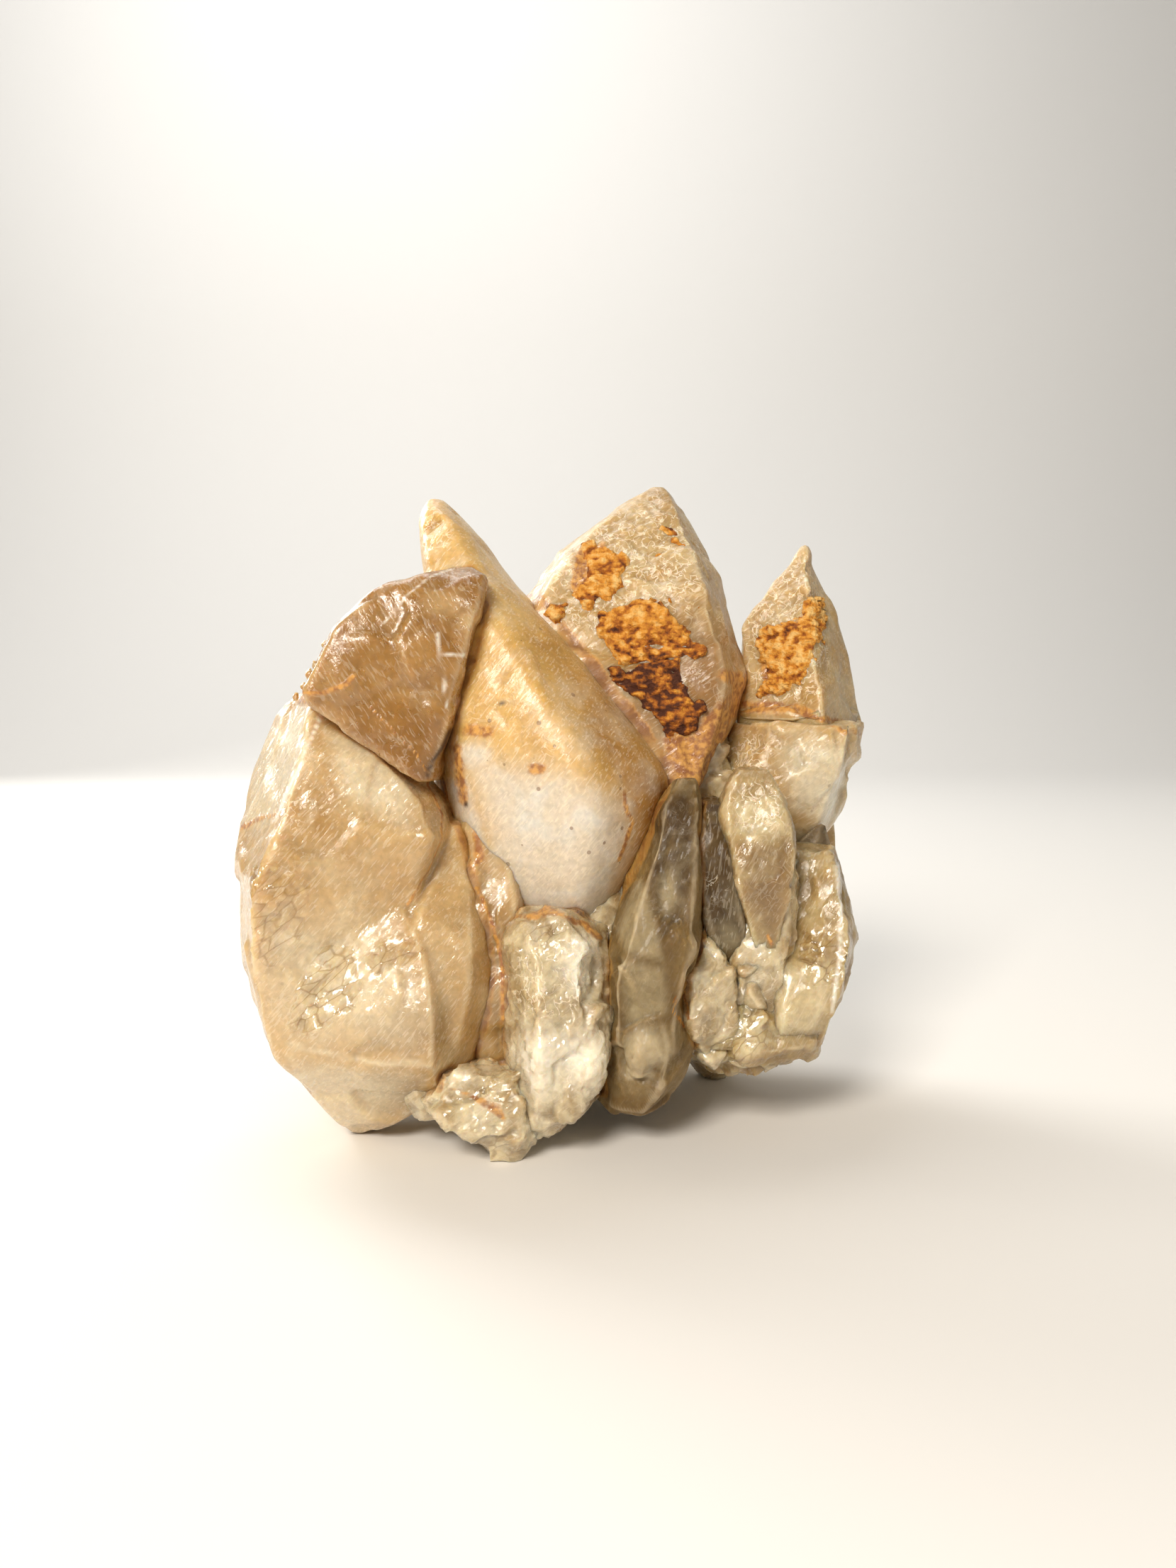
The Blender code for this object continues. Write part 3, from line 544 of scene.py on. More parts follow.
# A ball from the six sides of a cube, each cut in steps by equal angles: unit directions and faces
def ballGrid(steps):
    line = np.arange(steps + 1)
    a, b = (grid.ravel() for grid in np.meshgrid(line, line, indexing="ij"))
    low, high = np.zeros_like(a), np.full_like(a, steps)
    sides = ((high, a, b), (low, b, a), (b, high, a), (a, low, b), (a, b, high), (b, a, low))
    places = np.concatenate([np.stack(side, axis=1) for side in sides])
    keys = (places * (1, steps + 1, (steps + 1) ** 2)).sum(axis=1)
    first, which = np.unique(keys, return_index=True, return_inverse=True)[1:]
    square = gridQuads(steps + 1, steps + 1)
    quads = np.concatenate([square + side * (steps + 1) ** 2 for side in range(6)])
    ways = np.tan((places[first] / steps * 2 - 1) * math.pi / 4)
    return ways / np.linalg.norm(ways, axis=1)[:, None], which.ravel()[quads]


# Rounded distance outside a crystal's faces: the soft greatest of the distances in front of each face.
# Returns it with the weights of the faces, which blend their directions at an edge
def softOutside(ahead, rounding):
    rounding = np.broadcast_to(rounding, len(ahead))
    top = ahead.max(axis=1)
    share = np.exp((ahead - top[:, None]) / rounding[:, None])
    total = share.sum(axis=1)
    return top + rounding * np.log(total), share / total[:, None]


# How surfaces grow: rounds of the two searches, room kept round the middle and most rounding as shares of
# the least half size, and how much sharper a tip is, from which share of the height on
growth = {"centring": 60, "rounds": 7, "room": 0.3, "rounding": 0.12, "tipSharp": 0.75, "tipFrom": 0.7}


# The surface of crystals grown into one another: along each direction of a stretched ball from a place
# inside them all, where the soft least of their soft distances is nothing. Steps along the line by Newton's
# rule, from the sharp surface. Returns points, outward directions, edge and quads
def grownSurface(parts, roundings, melt, steps):
    low = np.min([part["low"] for part in parts], axis=0)
    high = np.max([part["high"] for part in parts], axis=0)
    middle, reach = (low + high) / 2, (high - low) / 2
    least = min((part["high"] - part["low"]).min() for part in parts) / 2
    outs = np.concatenate([part["out"] for part in parts])
    heights = np.concatenate([part["height"] for part in parts])
    for _ in range(growth["centring"]):
        inside = heights - outs @ middle
        nearest = inside.argmin()
        middle = middle - outs[nearest] * max(growth["room"] * least - inside[nearest], 0)
    ways, quads = ballGrid(steps)
    ways = ways * reach
    ways = ways / np.linalg.norm(ways, axis=1)[:, None]
    climbs = [ways @ part["out"].T for part in parts]
    insides = [part["height"] - part["out"] @ middle for part in parts]
    far = np.max([1 / (climb / inside).max(axis=1) for climb, inside in zip(climbs, insides)], axis=0)
    climbed = np.abs(middle[2] + ways[:, 2] * far - (low[2] + high[2]) / 2) / reach[2]
    softness = 1 - growth["tipSharp"] * easeIn(climbed, growth["tipFrom"], 1)
    for _ in range(growth["rounds"]):
        gaps, slopes, leans = [], [], []
        for part, climb, inside, rounding in zip(parts, climbs, insides, roundings):
            soft = min(rounding, growth["rounding"] * least) * softness
            gap, share = softOutside(far[:, None] * climb - inside, soft)
            gaps.append(gap)
            slopes.append((share * climb).sum(axis=1))
            leans.append(share @ part["out"])
        gaps = np.array(gaps)
        weight = np.exp((gaps.min(axis=0) - gaps) / melt)
        total = weight.sum(axis=0)
        weight = weight / total
        slope = np.maximum((weight * slopes).sum(axis=0), 0.1)
        far = far - (gaps.min(axis=0) - melt * np.log(total)) / slope
    out = (weight[:, :, None] * np.array(leans)).sum(axis=0)
    edge = (weight * (1 - np.linalg.norm(leans, axis=2))).sum(axis=0)
    return middle + ways * far[:, None], out / np.linalg.norm(out, axis=1)[:, None], edge, quads


# Where points show in the picture: across and down in its pixels
def inPicture(points):
    tilt = math.radians(picture["tiltDeg"])
    away = points - picture["eye"]
    ahead = away[:, 1] * math.cos(tilt) - away[:, 2] * math.sin(tilt)
    down = -away[:, 2] * math.cos(tilt) - away[:, 1] * math.sin(tilt)
    across = picture["wide"] / 2 + picture["focal"] * away[:, 0] / ahead
    return np.stack([across, picture["high"] / 2 + picture["focal"] * down / ahead], axis=1)


# Where lines of sight through places of the picture first meet a crystal: entry through its sharp faces,
# then Newton's steps to the soft surface. Returns points, outward directions and whether each meets it
def seenOn(faces, places, rounding):
    tilt = math.radians(picture["tiltDeg"])
    across = (places[:, 0] - picture["wide"] / 2) / picture["focal"]
    down = (places[:, 1] - picture["high"] / 2) / picture["focal"]
    ahead, rise = math.cos(tilt) - down * math.sin(tilt), -math.sin(tilt) - down * math.cos(tilt)
    ways = np.stack([across, ahead, rise], axis=1)
    ways = ways / np.linalg.norm(ways, axis=1)[:, None]
    climb = ways @ faces["out"].T
    ahead = faces["out"] @ picture["eye"] - faces["height"]
    enter = np.where(climb < -1e-6, -ahead / np.minimum(climb, -1e-6), -1e9).max(axis=1)
    leave = np.where(climb > 1e-6, -ahead / np.maximum(climb, 1e-6), 1e9).min(axis=1)
    far = enter
    for _ in range(5):
        gap, share = softOutside(ahead + far[:, None] * climb, rounding)
        slope = (share * climb).sum(axis=1)
        far = np.clip(far - gap / np.minimum(slope, -0.05), enter, enter + 6)
    out = share @ faces["out"]
    out = out / np.linalg.norm(out, axis=1)[:, None]
    return picture["eye"] + ways * far[:, None], out, leave - enter > 5


# Share from 0 to 1 as a value goes from low to high, with an S curve
def easeIn(value, low, high):
    part = np.clip((value - low) / (high - low), 0, 1)
    return part * part * (3 - 2 * part)


# Distance in the picture from a line through several places
def offLine(places, line):
    best = np.full(len(places), 1e9)
    for start, end in zip(line[:-1], line[1:]):
        start, run = np.array(start, float), np.array(end, float) - np.array(start, float)
        along = np.clip(((places - start) @ run) / (run @ run), 0, 1)
        best = np.minimum(best, np.linalg.norm(places - start - along[:, None] * run, axis=1))
    return best


# Distance in the picture inside an outline, below nothing outside it. A place is inside where the crossings
# of a level line to its right are odd in number
def insideBy(places, outline):
    within = np.zeros(len(places), bool)
    for (x0, y0), (x1, y1) in zip(outline, outline[1:] + outline[:1]):
        between = (y0 > places[:, 1]) != (y1 > places[:, 1])
        crossing = x0 + (places[:, 1] - y0) * (x1 - x0) / ((y1 - y0) or 1e-9)
        within ^= between & (places[:, 0] < crossing)
    rim = offLine(places, outline + outline[:1])
    return np.where(within, rim, -rim)


# How much of a mark lies at each place of the picture: 1 on it, fading over its own width or soft rim
def markAmount(places, form, *mark):
    if form == "spot":
        middle, radii = mark
        away = (places - np.array(middle)) / np.array(radii)
        return np.exp(-((away * away).sum(axis=1)) ** 1.5)
    size, *line = mark
    if form == "line":
        return np.exp(-(offLine(places, line) / size) ** 2)
    return easeIn(insideBy(places, line), -size, size)


# Takes a chip off: a scoop is the hollow of a large ball, a flat chip a leaning plane that rises at its rim
def chipAway(points, out, places, facing, form, at, reach, depth, leans=(0, 0)):
    spot = (np.linalg.norm(places - np.array(at), axis=1) + 1e4 * (facing < 0.1)).argmin()
    here, up = points[spot], out[spot]
    right = np.cross(up, (0, 0, 1))
    right = -right / np.linalg.norm(right)
    reach = reach * np.linalg.norm(here - picture["eye"]) / picture["focal"]
    away = points - here
    height = away @ up
    off = np.linalg.norm(away - height[:, None] * up, axis=1)
    if form == "scoop":
        ball = (reach ** 2 + depth ** 2) / (2 * depth)
        floor = ball - depth - np.sqrt(np.maximum(ball ** 2 - off ** 2, 0)) + 0.03 * np.sin(off * 5)
    else:
        slope = (away @ right) * leans[0] + (away @ np.cross(up, right)) * -leans[1]
        floor = slope - depth + depth * 1.8 * (off / reach) ** 6
    near = (off < reach * 1.4) & (np.abs(height) < reach)
    drop = np.where(near, np.maximum(height - floor, 0), 0)
    return points - drop[:, None] * up, drop


# Growth relief of every crystal, from places in space so that a crust on it follows it too: faint facets
# 10 mm wide and fine clouds
def growthRelief(points, seed):
    return facetNoise(points, 10, seed, 18) * 0.1 + cloudNoise(points, 2.6, seed + 5) * 0.05


# A mesh of points in design mm, all faces with as many corners, a finish and values at the points
def newMesh(name, points, faces, finish, values=None):
    mesh = bpy.data.meshes.new(name)
    mesh.from_pydata([], [], [])
    mesh.vertices.add(len(points))
    mesh.vertices.foreach_set("co", ((points - packedMiddle) * mm).astype(np.float32).ravel())
    mesh.loops.add(faces.size)
    mesh.loops.foreach_set("vertex_index", faces.ravel().astype(np.int32))
    mesh.polygons.add(len(faces))
    mesh.polygons.foreach_set("loop_start", np.arange(0, faces.size, faces.shape[1], dtype=np.int32))
    mesh.update(calc_edges=True)
    mesh.shade_smooth()
    for title, value in (values or {}).items():
        mesh.attributes.new(title, "FLOAT", "POINT").data.foreach_set("value", value.astype(np.float32))
    piece = bpy.data.objects.new(name, mesh)
    bpy.context.scene.collection.objects.link(piece)
    mesh.materials.append(finish)
    return piece


# Makes a mesh a piece of the cluster
def joinCluster(piece):
    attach(piece, "root")
    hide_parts("calcite_cluster")
    return piece


# An sRGB hex value as linear light
def hexColour(text):
    parts = [int(text[n:n + 2], 16) / 255 for n in (1, 3, 5)]
    return tuple(c / 12.92 if c <= 0.04045 else ((c + 0.055) / 1.055) ** 2.4 for c in parts) + (1,)


# Noise and cell scale that gives features of a real size
def perSize(sizeMm):
    return 1 / (sizeMm * mm)


# Gives a node its inputs, by name or in order, each a value or another node's output
def giveInputs(node, inputs):
    for title, value in (inputs if isinstance(inputs, dict) else dict(enumerate(inputs))).items():
        if isinstance(value, bpy.types.NodeSocket):
            node.id_data.links.new(value, node.inputs[title])
        else:
            node.inputs[title].default_value = value


# Adds a node of a kind, with its operation after it, its settings and inputs. Returns one of its outputs
def addNode(tree, kind, inputs=(), output=0, **settings):
    kind, *operation = kind.split()
    node = tree.nodes.new("ShaderNode" + kind)
    for title, value in (settings | ({"operation": operation[0]} if operation else {})).items():
        setattr(node, title, value)
    giveInputs(node, inputs)
    return node.outputs[output]


# A new material: itself, its shader, and addNode for its tree
def newFinish(name):
    material = bpy.data.materials.new(name)
    material.use_nodes = True
    tree = material.node_tree
    return material, tree.nodes["Principled BSDF"], functools.partial(addNode, tree)


# Calcite: calcium carbonate grown from hot water, then etched by weather. It gives the eye a pale milky
# depth, a waxy sheen where etched, glassy glints where broken, and rust where water ran in the joints.
# Each tint has the colours of its body, clouds, dark patches and painted shade, milky parts and painted
# sheen and highlights, then the numbers named here
calciteTitles = (
    "body", "cloud", "deep", "milk", "stain", "rough", "clear", "travelMm", "gloss", "glossRough",
    "hairs", "worms", "specks", "glint", "sugar", "leanDeg", "shine", "cloudMm",
)
calciteTints = {
    "satin honey": ("#CCA458", "#D8B470", "#A47430", "#DAD4C8", 1, 0.42, 0, 3.5, 0.4, 0.24,
        0.45, 0.25, 0.6, 0.25, 0.06, 52, 0.5, 16),
    "glassy honey": ("#BE9658", "#D2B27C", "#A07C42", "#E2D2B0", 1, 0.38, 0.15, 3.5, 0.7, 0.12,
        0.4, 0.25, 0.2, 0.35, 0.1, 50, 0.5, 14),
    "smoky": ("#A07028", "#B88A44", "#7C521C", "#DEBC86", 1, 0.3, 0.35, 3.5, 0.5, 0.14,
        0.4, 0.3, 0.3, 0.2, 0.06, -58, 0.4, 14),
    "dark smoky": ("#4C3716", "#624A24", "#36240C", "#A69878", 0.6, 0.4, 0.25, 3, 0.12, 0.2,
        0.3, 0.2, 0.3, 0.3, 0.15, 80, 0.15, 10),
    "grey": ("#6C5530", "#80683E", "#4E3A1C", "#A29270", 0.7, 0.55, 0, 2.5, 0.15, 0.22,
        0.05, 0.1, 0.5, 0.5, 0.35, 66, 0.15, 9),
    "sandy": ("#B8965C", "#CCB282", "#98703A", "#D8CEB4", 1, 0.38, 0, 3, 0.38, 0.2,
        0.3, 0.55, 0.4, 0.35, 0.15, 35, 0.5, 12),
    "pale yellow": ("#A68650", "#C2AA78", "#8A6A38", "#DCCCA4", 0.7, 0.32, 0.15, 4, 0.5, 0.12,
        0.3, 0.3, 0.2, 0.35, 0.25, 60, 0.5, 9),
    "granular white": ("#A68C5E", "#DACBA6", "#7A5E36", "#F4EEDC", 0.8, 0.3, 0, 1.8, 0.9, 0.08,
        0.2, 0.5, 0.1, 0.6, 0.5, 40, 0.5, 5),
    "dark matrix": ("#5E4E36", "#7A684C", "#40321F", "#8D7E66", 0.5, 0.5, 0, 1, 0.1, 0.3,
        0, 0.2, 1, 0.3, 0.6, 0, 0.3, 5),
}
calciteIor = 1.6                     # calcite bends light by 1.49 to 1.66
lightTravel = (1, 0.75, 0.48)        # of red, green and blue in it, by share
# Colours laid on top. The hair colour is scratches and painted glints, the edge colour wear and a painted
# highlight
coats = {
    "hair_glint": "#FFF3DC", "edge": "#FFF0D0", "dark": "#38200F", "crack": "#FFF8EA", "speck": "#7A5630",
    "joint": ("#CC9444", "#8E541A"), "rust": ("#905212", "#D09640"),
}
# Marks: the milk marks are milky parts and also painted sheen and highlights, the deep marks darker parts
# and also painted shade
markTitles = ("rust", "milk", "deep", "glass", "frost", "dark", "crack")
smooth = {"interpolation_type": "SMOOTHSTEP"}


# A range node takes its value, what becomes 0 and 1, and what 0 and 1 become
def calciteFinish(name, look):
    material, shader, add = newFinish("calcite, " + name)
    place = add("TexCoord", output="Object")
    titles = (*markTitles, "joint", "edge")
    mark = {title: add("Attribute", output="Fac", attribute_name=title) for title in titles}

    # Noise patterns: size in mm, detail, distortion, and the values that become 0 and 1
    noise = {}
    for title, (sizeMm, detail, distortion, low, high) in {
        "clouds": (look["cloudMm"], 4, 0.8, 0.36, 0.64),
        "deep": (9, 5, 0.2, 0.48, 0.75),
        "etching": (1.9, 2, 0.6, 0, 1),
        "frosting": (4.5, 2, 0, 0.5, 0.66),
        "staining": (3.2, 4, 0.5, 0, 1),
        "rusting": (1.6, 4, 0.4, 0, 1),
        "rustShade": (1.1, 3, 0, 0.4, 0.6),
        "clearing": (14, 3, 0, 0.3, 0.8),
        "wear_and_highlight": (2.2, 4, 0.3, 0, 1),
        "satin": (0.7, 4, 0, 0, 1),
        "grit": (0.9, 5, 0.2, 0.3, 0.7),
        "milky": (6, 4, 0.6, 0.48, 0.72),
    }.items():
        value = add("TexNoise", {
            "Vector": place, "Scale": perSize(sizeMm), "Detail": detail, "Distortion": distortion,
        })
        noise[title] = add("MapRange", (value, low, high))

    # Colour in the depth: clouds, darker patches and painted shade, milky parts and painted highlights, then
    # the fine grit of etched calcite
    deepAndShadeShare = add("Math MULTIPLY_ADD", (noise["deep"], 0.45, mark["deep"]), use_clamp=True)
    milkSheenMark = add("Math MULTIPLY", (mark["milk"], 0.75))
    milkSheenShare = add("Math MULTIPLY_ADD", (noise["milky"], 0.35, milkSheenMark), use_clamp=True)
    colour = hexColour(look["body"])
    for share, tint in ((noise["clouds"], "cloud"), (deepAndShadeShare, "deep"), (milkSheenShare, "milk")):
        colour = add("Mix", {0: share, 6: colour, 7: hexColour(look[tint])}, 2, data_type="RGBA")
    gritShade = add("MapRange", (noise["grit"], 0, 1, 0.88, 1.1))
    colour = add("VectorMath SCALE", {0: colour, "Scale": gritShade})

    # Hairs: pale scratches that all lean one way, many short ones and a few long ones; their pale colour is
    # partly painted glints. Their sizes in mm, and the values of their noise that become 0 and 1
    hairs = 0
    slant = (0, -math.radians(look["leanDeg"]), 0)
    for sizes, low, high in (((6.5, 1.6, 0.3), 0.65, 0.72), ((1.7, 0.8, 0.35), 0.58, 0.66)):
        hairPlace = add("Mapping", {
            "Vector": place, "Rotation": slant, "Scale": [size * mm for size in sizes],
        }, vector_type="TEXTURE")
        hairNoise = add("TexNoise", {"Vector": hairPlace, "Scale": 1, "Detail": 1})
        someHairs = add("MapRange", (hairNoise, low, high, 0, look["hairs"]), **smooth)
        hairs = add("Math MAXIMUM", (hairs, someHairs))

    # Worms: curly etched pits, the thin lines where a noise crosses its middle; their pale colour is painted
    # glints
    offMiddle = add("Math ABSOLUTE", [add("Math SUBTRACT", (noise["etching"], 0.5))])
    wormLine = add("MapRange", (offMiddle, 0.035, 0.008), **smooth)
    frosted = add("Math MULTIPLY_ADD", (noise["frosting"], look["worms"], mark["frost"]))
    worms = add("Math MULTIPLY", (wormLine, frosted), use_clamp=True)
    # Pale colour of the hairs and worms: scratches and pits with painted glints on them
    paleGlintShare = add("Math MULTIPLY", (add("Math MAXIMUM", (hairs, worms)), 0.6))
    # Pale edges: partly wear, partly a painted highlight along them
    edgeWearAndHighlightShare = add("Math MULTIPLY", (mark["edge"], noise["wear_and_highlight"]))

    # Breaks: glassy places are split into flat faces, with a dark line between them
    breakPlace = add("Mapping", {
        "Vector": place, "Rotation": (0, -0.7, 0), "Scale": (5 * mm, 2.2 * mm, 1.8 * mm),
    }, vector_type="TEXTURE")
    breakRim = add("TexVoronoi", {"Vector": breakPlace, "Scale": 1}, feature="DISTANCE_TO_EDGE")
    breakLine = add("MapRange", (breakRim, 0.07, 0.01, 0, 0.5), **smooth)
    breakShare = add("Math MULTIPLY", (breakLine, mark["glass"]))

    # Rust in the joints and on the marked places, its rim broken up by noise
    stainNoise = add("Math MULTIPLY_ADD", (noise["staining"], 1.1, -0.55))
    jointSum = add("Math ADD", (mark["joint"], stainNoise))
    jointShare = add("MapRange", (jointSum, 0.45, 1.1, 0, 0.75 * look["stain"]), **smooth)
    jointDeep = add("MapRange", (jointSum, 0.85, 1.15), **smooth)
    rustGrain = add("Math MULTIPLY_ADD", (noise["rusting"], 1, -0.5))
    rust = add("MapRange", (add("Math ADD", (mark["rust"], rustGrain)), 0.42, 0.95, 0, 0.9), **smooth)
    stains = {}
    for title, share in (("joint", jointDeep), ("rust", noise["rustShade"])):
        first, second = (hexColour(text) for text in coats[title])
        stains[title] = add("Mix", {0: share, 6: first, 7: second}, 2, data_type="RGBA")

    # Dark specks in some cells
    cells = add("TexVoronoi", {"Vector": place, "Scale": perSize(2.6)}).node.outputs
    chance = add("SeparateColor", [cells["Color"]])
    speckSize = add("MapRange", (chance, 0.72, 1, 0, 0.16))
    speck = add("Math LESS_THAN", (cells["Distance"], speckSize))
    speckShare = add("Math MULTIPLY", (speck, look["specks"]))

    # What lies on the colour, one over the other
    for share, tint in (
        (paleGlintShare, hexColour(coats["hair_glint"])), (edgeWearAndHighlightShare, hexColour(coats["edge"])),
        (breakShare, hexColour(look["deep"])), (jointShare, stains["joint"]), (rust, stains["rust"]),
        (mark["dark"], hexColour(coats["dark"])), (mark["crack"], hexColour(coats["crack"])),
        (speckShare, hexColour(coats["speck"])),
    ):
        colour = add("Mix", {0: share, 6: colour, 7: tint}, 2, data_type="RGBA")

    # Opaque where rusty or dark, clear where glassy
    cover = add("Math MAXIMUM", (rust, mark["dark"]))
    bare = add("Math SUBTRACT", (1, cover), use_clamp=True)
    if look["clear"]:
        uneven, even = 0.4 * look["clear"], 0.6 * look["clear"]
        clearShare = add("Math MULTIPLY_ADD", (noise["clearing"], uneven, even))
        giveInputs(shader, {"Transmission Weight": add("Math MULTIPLY", (clearShare, bare))})

    # Roughness: waxy with fine change, glassy on the breaks, dull on the rust
    roughNoise = add("MapRange", (noise["wear_and_highlight"], 0, 1, look["rough"] * 0.6, look["rough"] * 1.4))
    roughRust = add("Math MULTIPLY_ADD", (cover, 0.35, roughNoise))
    rough = add("Math MULTIPLY_ADD", (mark["glass"], 0.1 - look["rough"], roughRust), use_clamp=True)

    # Fine relief: satin grain, hairs, worms, and rust grains
    relief = noise["satin"]
    for form, amount in ((hairs, 0.5), (worms, 0.9), (rust, 1)):
        relief = add("Math MULTIPLY_ADD", (form, amount, relief))
    bump = add("Bump", {"Height": relief, "Strength": 0.45, "Distance": 0.14 * mm})

    # Flat facets, each leaning its own way: glints of the etched faces, breaks of the glassy places, and
    # sugar, the small crystals side by side of crumbly calcite. Their place, scale and lean
    glintBy = add("Math MULTIPLY_ADD", (frosted, 0.35, look["glint"]))
    breakBy = add("Math MULTIPLY", (mark["glass"], 0.8))
    leans = []
    for spot, scale, by in (
        (hairPlace, 0.8, glintBy), (breakPlace, 1, breakBy), (place, perSize(1.5), look["sugar"]),
    ):
        facet = add("TexVoronoi", {"Vector": spot, "Scale": scale}, "Color")
        lean = add("VectorMath SUBTRACT", (facet, (0.5, 0.5, 0.5)))
        leans.append(add("VectorMath SCALE", {0: lean, "Scale": by}))
    glint, broken, sugar = leans
    for title, first in (("Normal", sugar), ("Coat Normal", glint)):
        way = add("VectorMath ADD", (add("VectorMath ADD", (bump, first)), broken))
        giveInputs(shader, {title: add("VectorMath NORMALIZE", [way])})
    giveInputs(shader, {
        "Base Color": colour, "Roughness": rough, "IOR": calciteIor, "Specular IOR Level": look["shine"],
        "Subsurface Weight": bare, "Subsurface Radius": lightTravel,
        "Subsurface Scale": look["travelMm"] * mm,
        "Coat Weight": look["gloss"], "Coat Roughness": look["glossRough"], "Coat IOR": calciteIor,
    })
    return material


finishes = {
    name: calciteFinish(name, dict(zip(calciteTitles, values))) for name, values in calciteTints.items()
}
print("calcite finishes made:", len(finishes))

# Limonite crust: rusty iron clay dried on the faces. It is dull and granular, ochre, with painted shade in
# the hollows between its grains
ironCrust = {
    "colours": ("#4E240C", "#A45C14", "#DC9632", "#F0C478"), "stops": (0.2, 0.34, 0.48, 0.66),
    "rough": 0.8, "patchMm": 1.5, "grainMm": 0.55,
}


def ironCrustFinish(look):
    material, shader, add = newFinish("limonite crust, dried clay")
    place = add("TexCoord", output="Object")
    # Painted shade in the hollows between the grains, with each patch's own darkening, darkens the ramp
    hollow_shade = add("Attribute", output="Fac", attribute_name="hollow_shade")
    patches = add("TexNoise", {"Vector": place, "Scale": perSize(look["patchMm"]), "Detail": 6})
    ramp = add("ValToRGB", [add("Math MULTIPLY_ADD", (hollow_shade, -0.3, patches))])
    elements = ramp.node.color_ramp.elements
    for number, (colour, stop) in enumerate(zip(look["colours"], look["stops"])):
        element = elements[number] if number < 2 else elements.new(stop)
        element.position = stop
        element.color = hexColour(colour)
    grains = add("TexNoise", {"Vector": place, "Scale": perSize(look["grainMm"]), "Detail": 5})
    bump = add("Bump", {"Height": grains, "Strength": 1, "Distance": 0.7 * mm})
    giveInputs(shader, {"Base Color": ramp, "Roughness": look["rough"], "Normal": bump})
    return material


crustFinish = ironCrustFinish(ironCrust)

# Every crystal's faces, before any is grown, because the joints need their neighbours
shapes = frontCrystals | rootCrystals | {name: toothShape(*size) for name, size in backTeeth.items()}
faces = {name: crystalFaces(shape) for name, shape in shapes.items()}
print("faces found:", {name: len(face["height"]) for name, face in faces.items()})

# Crystals grown so far into one another that they have one surface: members, and mm that they melt
united = {
    "left_body": (("lower_left_mass", "left_tooth", "lower_left_tooth"), 0.45),
    "granular_body": (("granular_block", "round_lobe"), 0.45),
    "grey_body": (("grey_tooth", "grey_root", "grey_knob"), 0.8),
    "right_low_body": (("right_low_tooth", "right_low_face"), 1.8),
}
# Crystals that grew into one another, with no seam between them
grownTogether = (
    {"left_tooth", "lower_left_tooth", "lower_left_mass"},
    {"granular_block", "round_lobe", "front_foot"},
    {"grey_tooth", "grey_root", "grey_knob"},
    {"amber_strip", "main_tooth"},
    {"right_low_tooth", "right_low_fill", "right_low_face", "right_low_point", "right_low_root",
     "small_pale_tooth", "small_smoky_tooth"},
    {"right_root", "right_upper_ledge", "right_lower_ledge", "right_tooth"},
)
backStep = gridStep * 1.7           # mm between the points of a crystal of the back or the root
jointReach, jointGroove = 0.8, 0.1  # how far stain spreads from a joint, and how low the joint lies, mm
nickDepth, nickMm = 0.35, 3         # nicks along the edges, and how far apart, mm
frostDepth, frostMm = 0.25, 1.3     # pits of frosted places
glassDepth, glassMm = 0.3, 2.8      # broken faces of glassy places
ballSteps = {"point": 14, "druse": 16, "lump": 16, "crumb": 10}  # across a side of each small ball


# Stain of the seams on a crystal: 1 where another growth meets it, fading with the distance to its faces
def seamStain(members, points):
    stain = np.zeros(len(points))
    if members[0] in rootCrystals:
        return stain
    low, high = points.min(axis=0) - 3, points.max(axis=0) + 3
    groups = (group for group in grownTogether if group & set(members))
    together = set().union(members, {"root_mass"}, *groups)
    for other, face in faces.items():
        if other in together or (face["low"] > high).any() or (face["high"] < low).any():
            continue
        ahead = (points @ face["out"].T - face["height"]).max(axis=1)
        stain = np.maximum(stain, np.exp(-(np.maximum(ahead, 0) / jointReach) ** 2))
    return stain


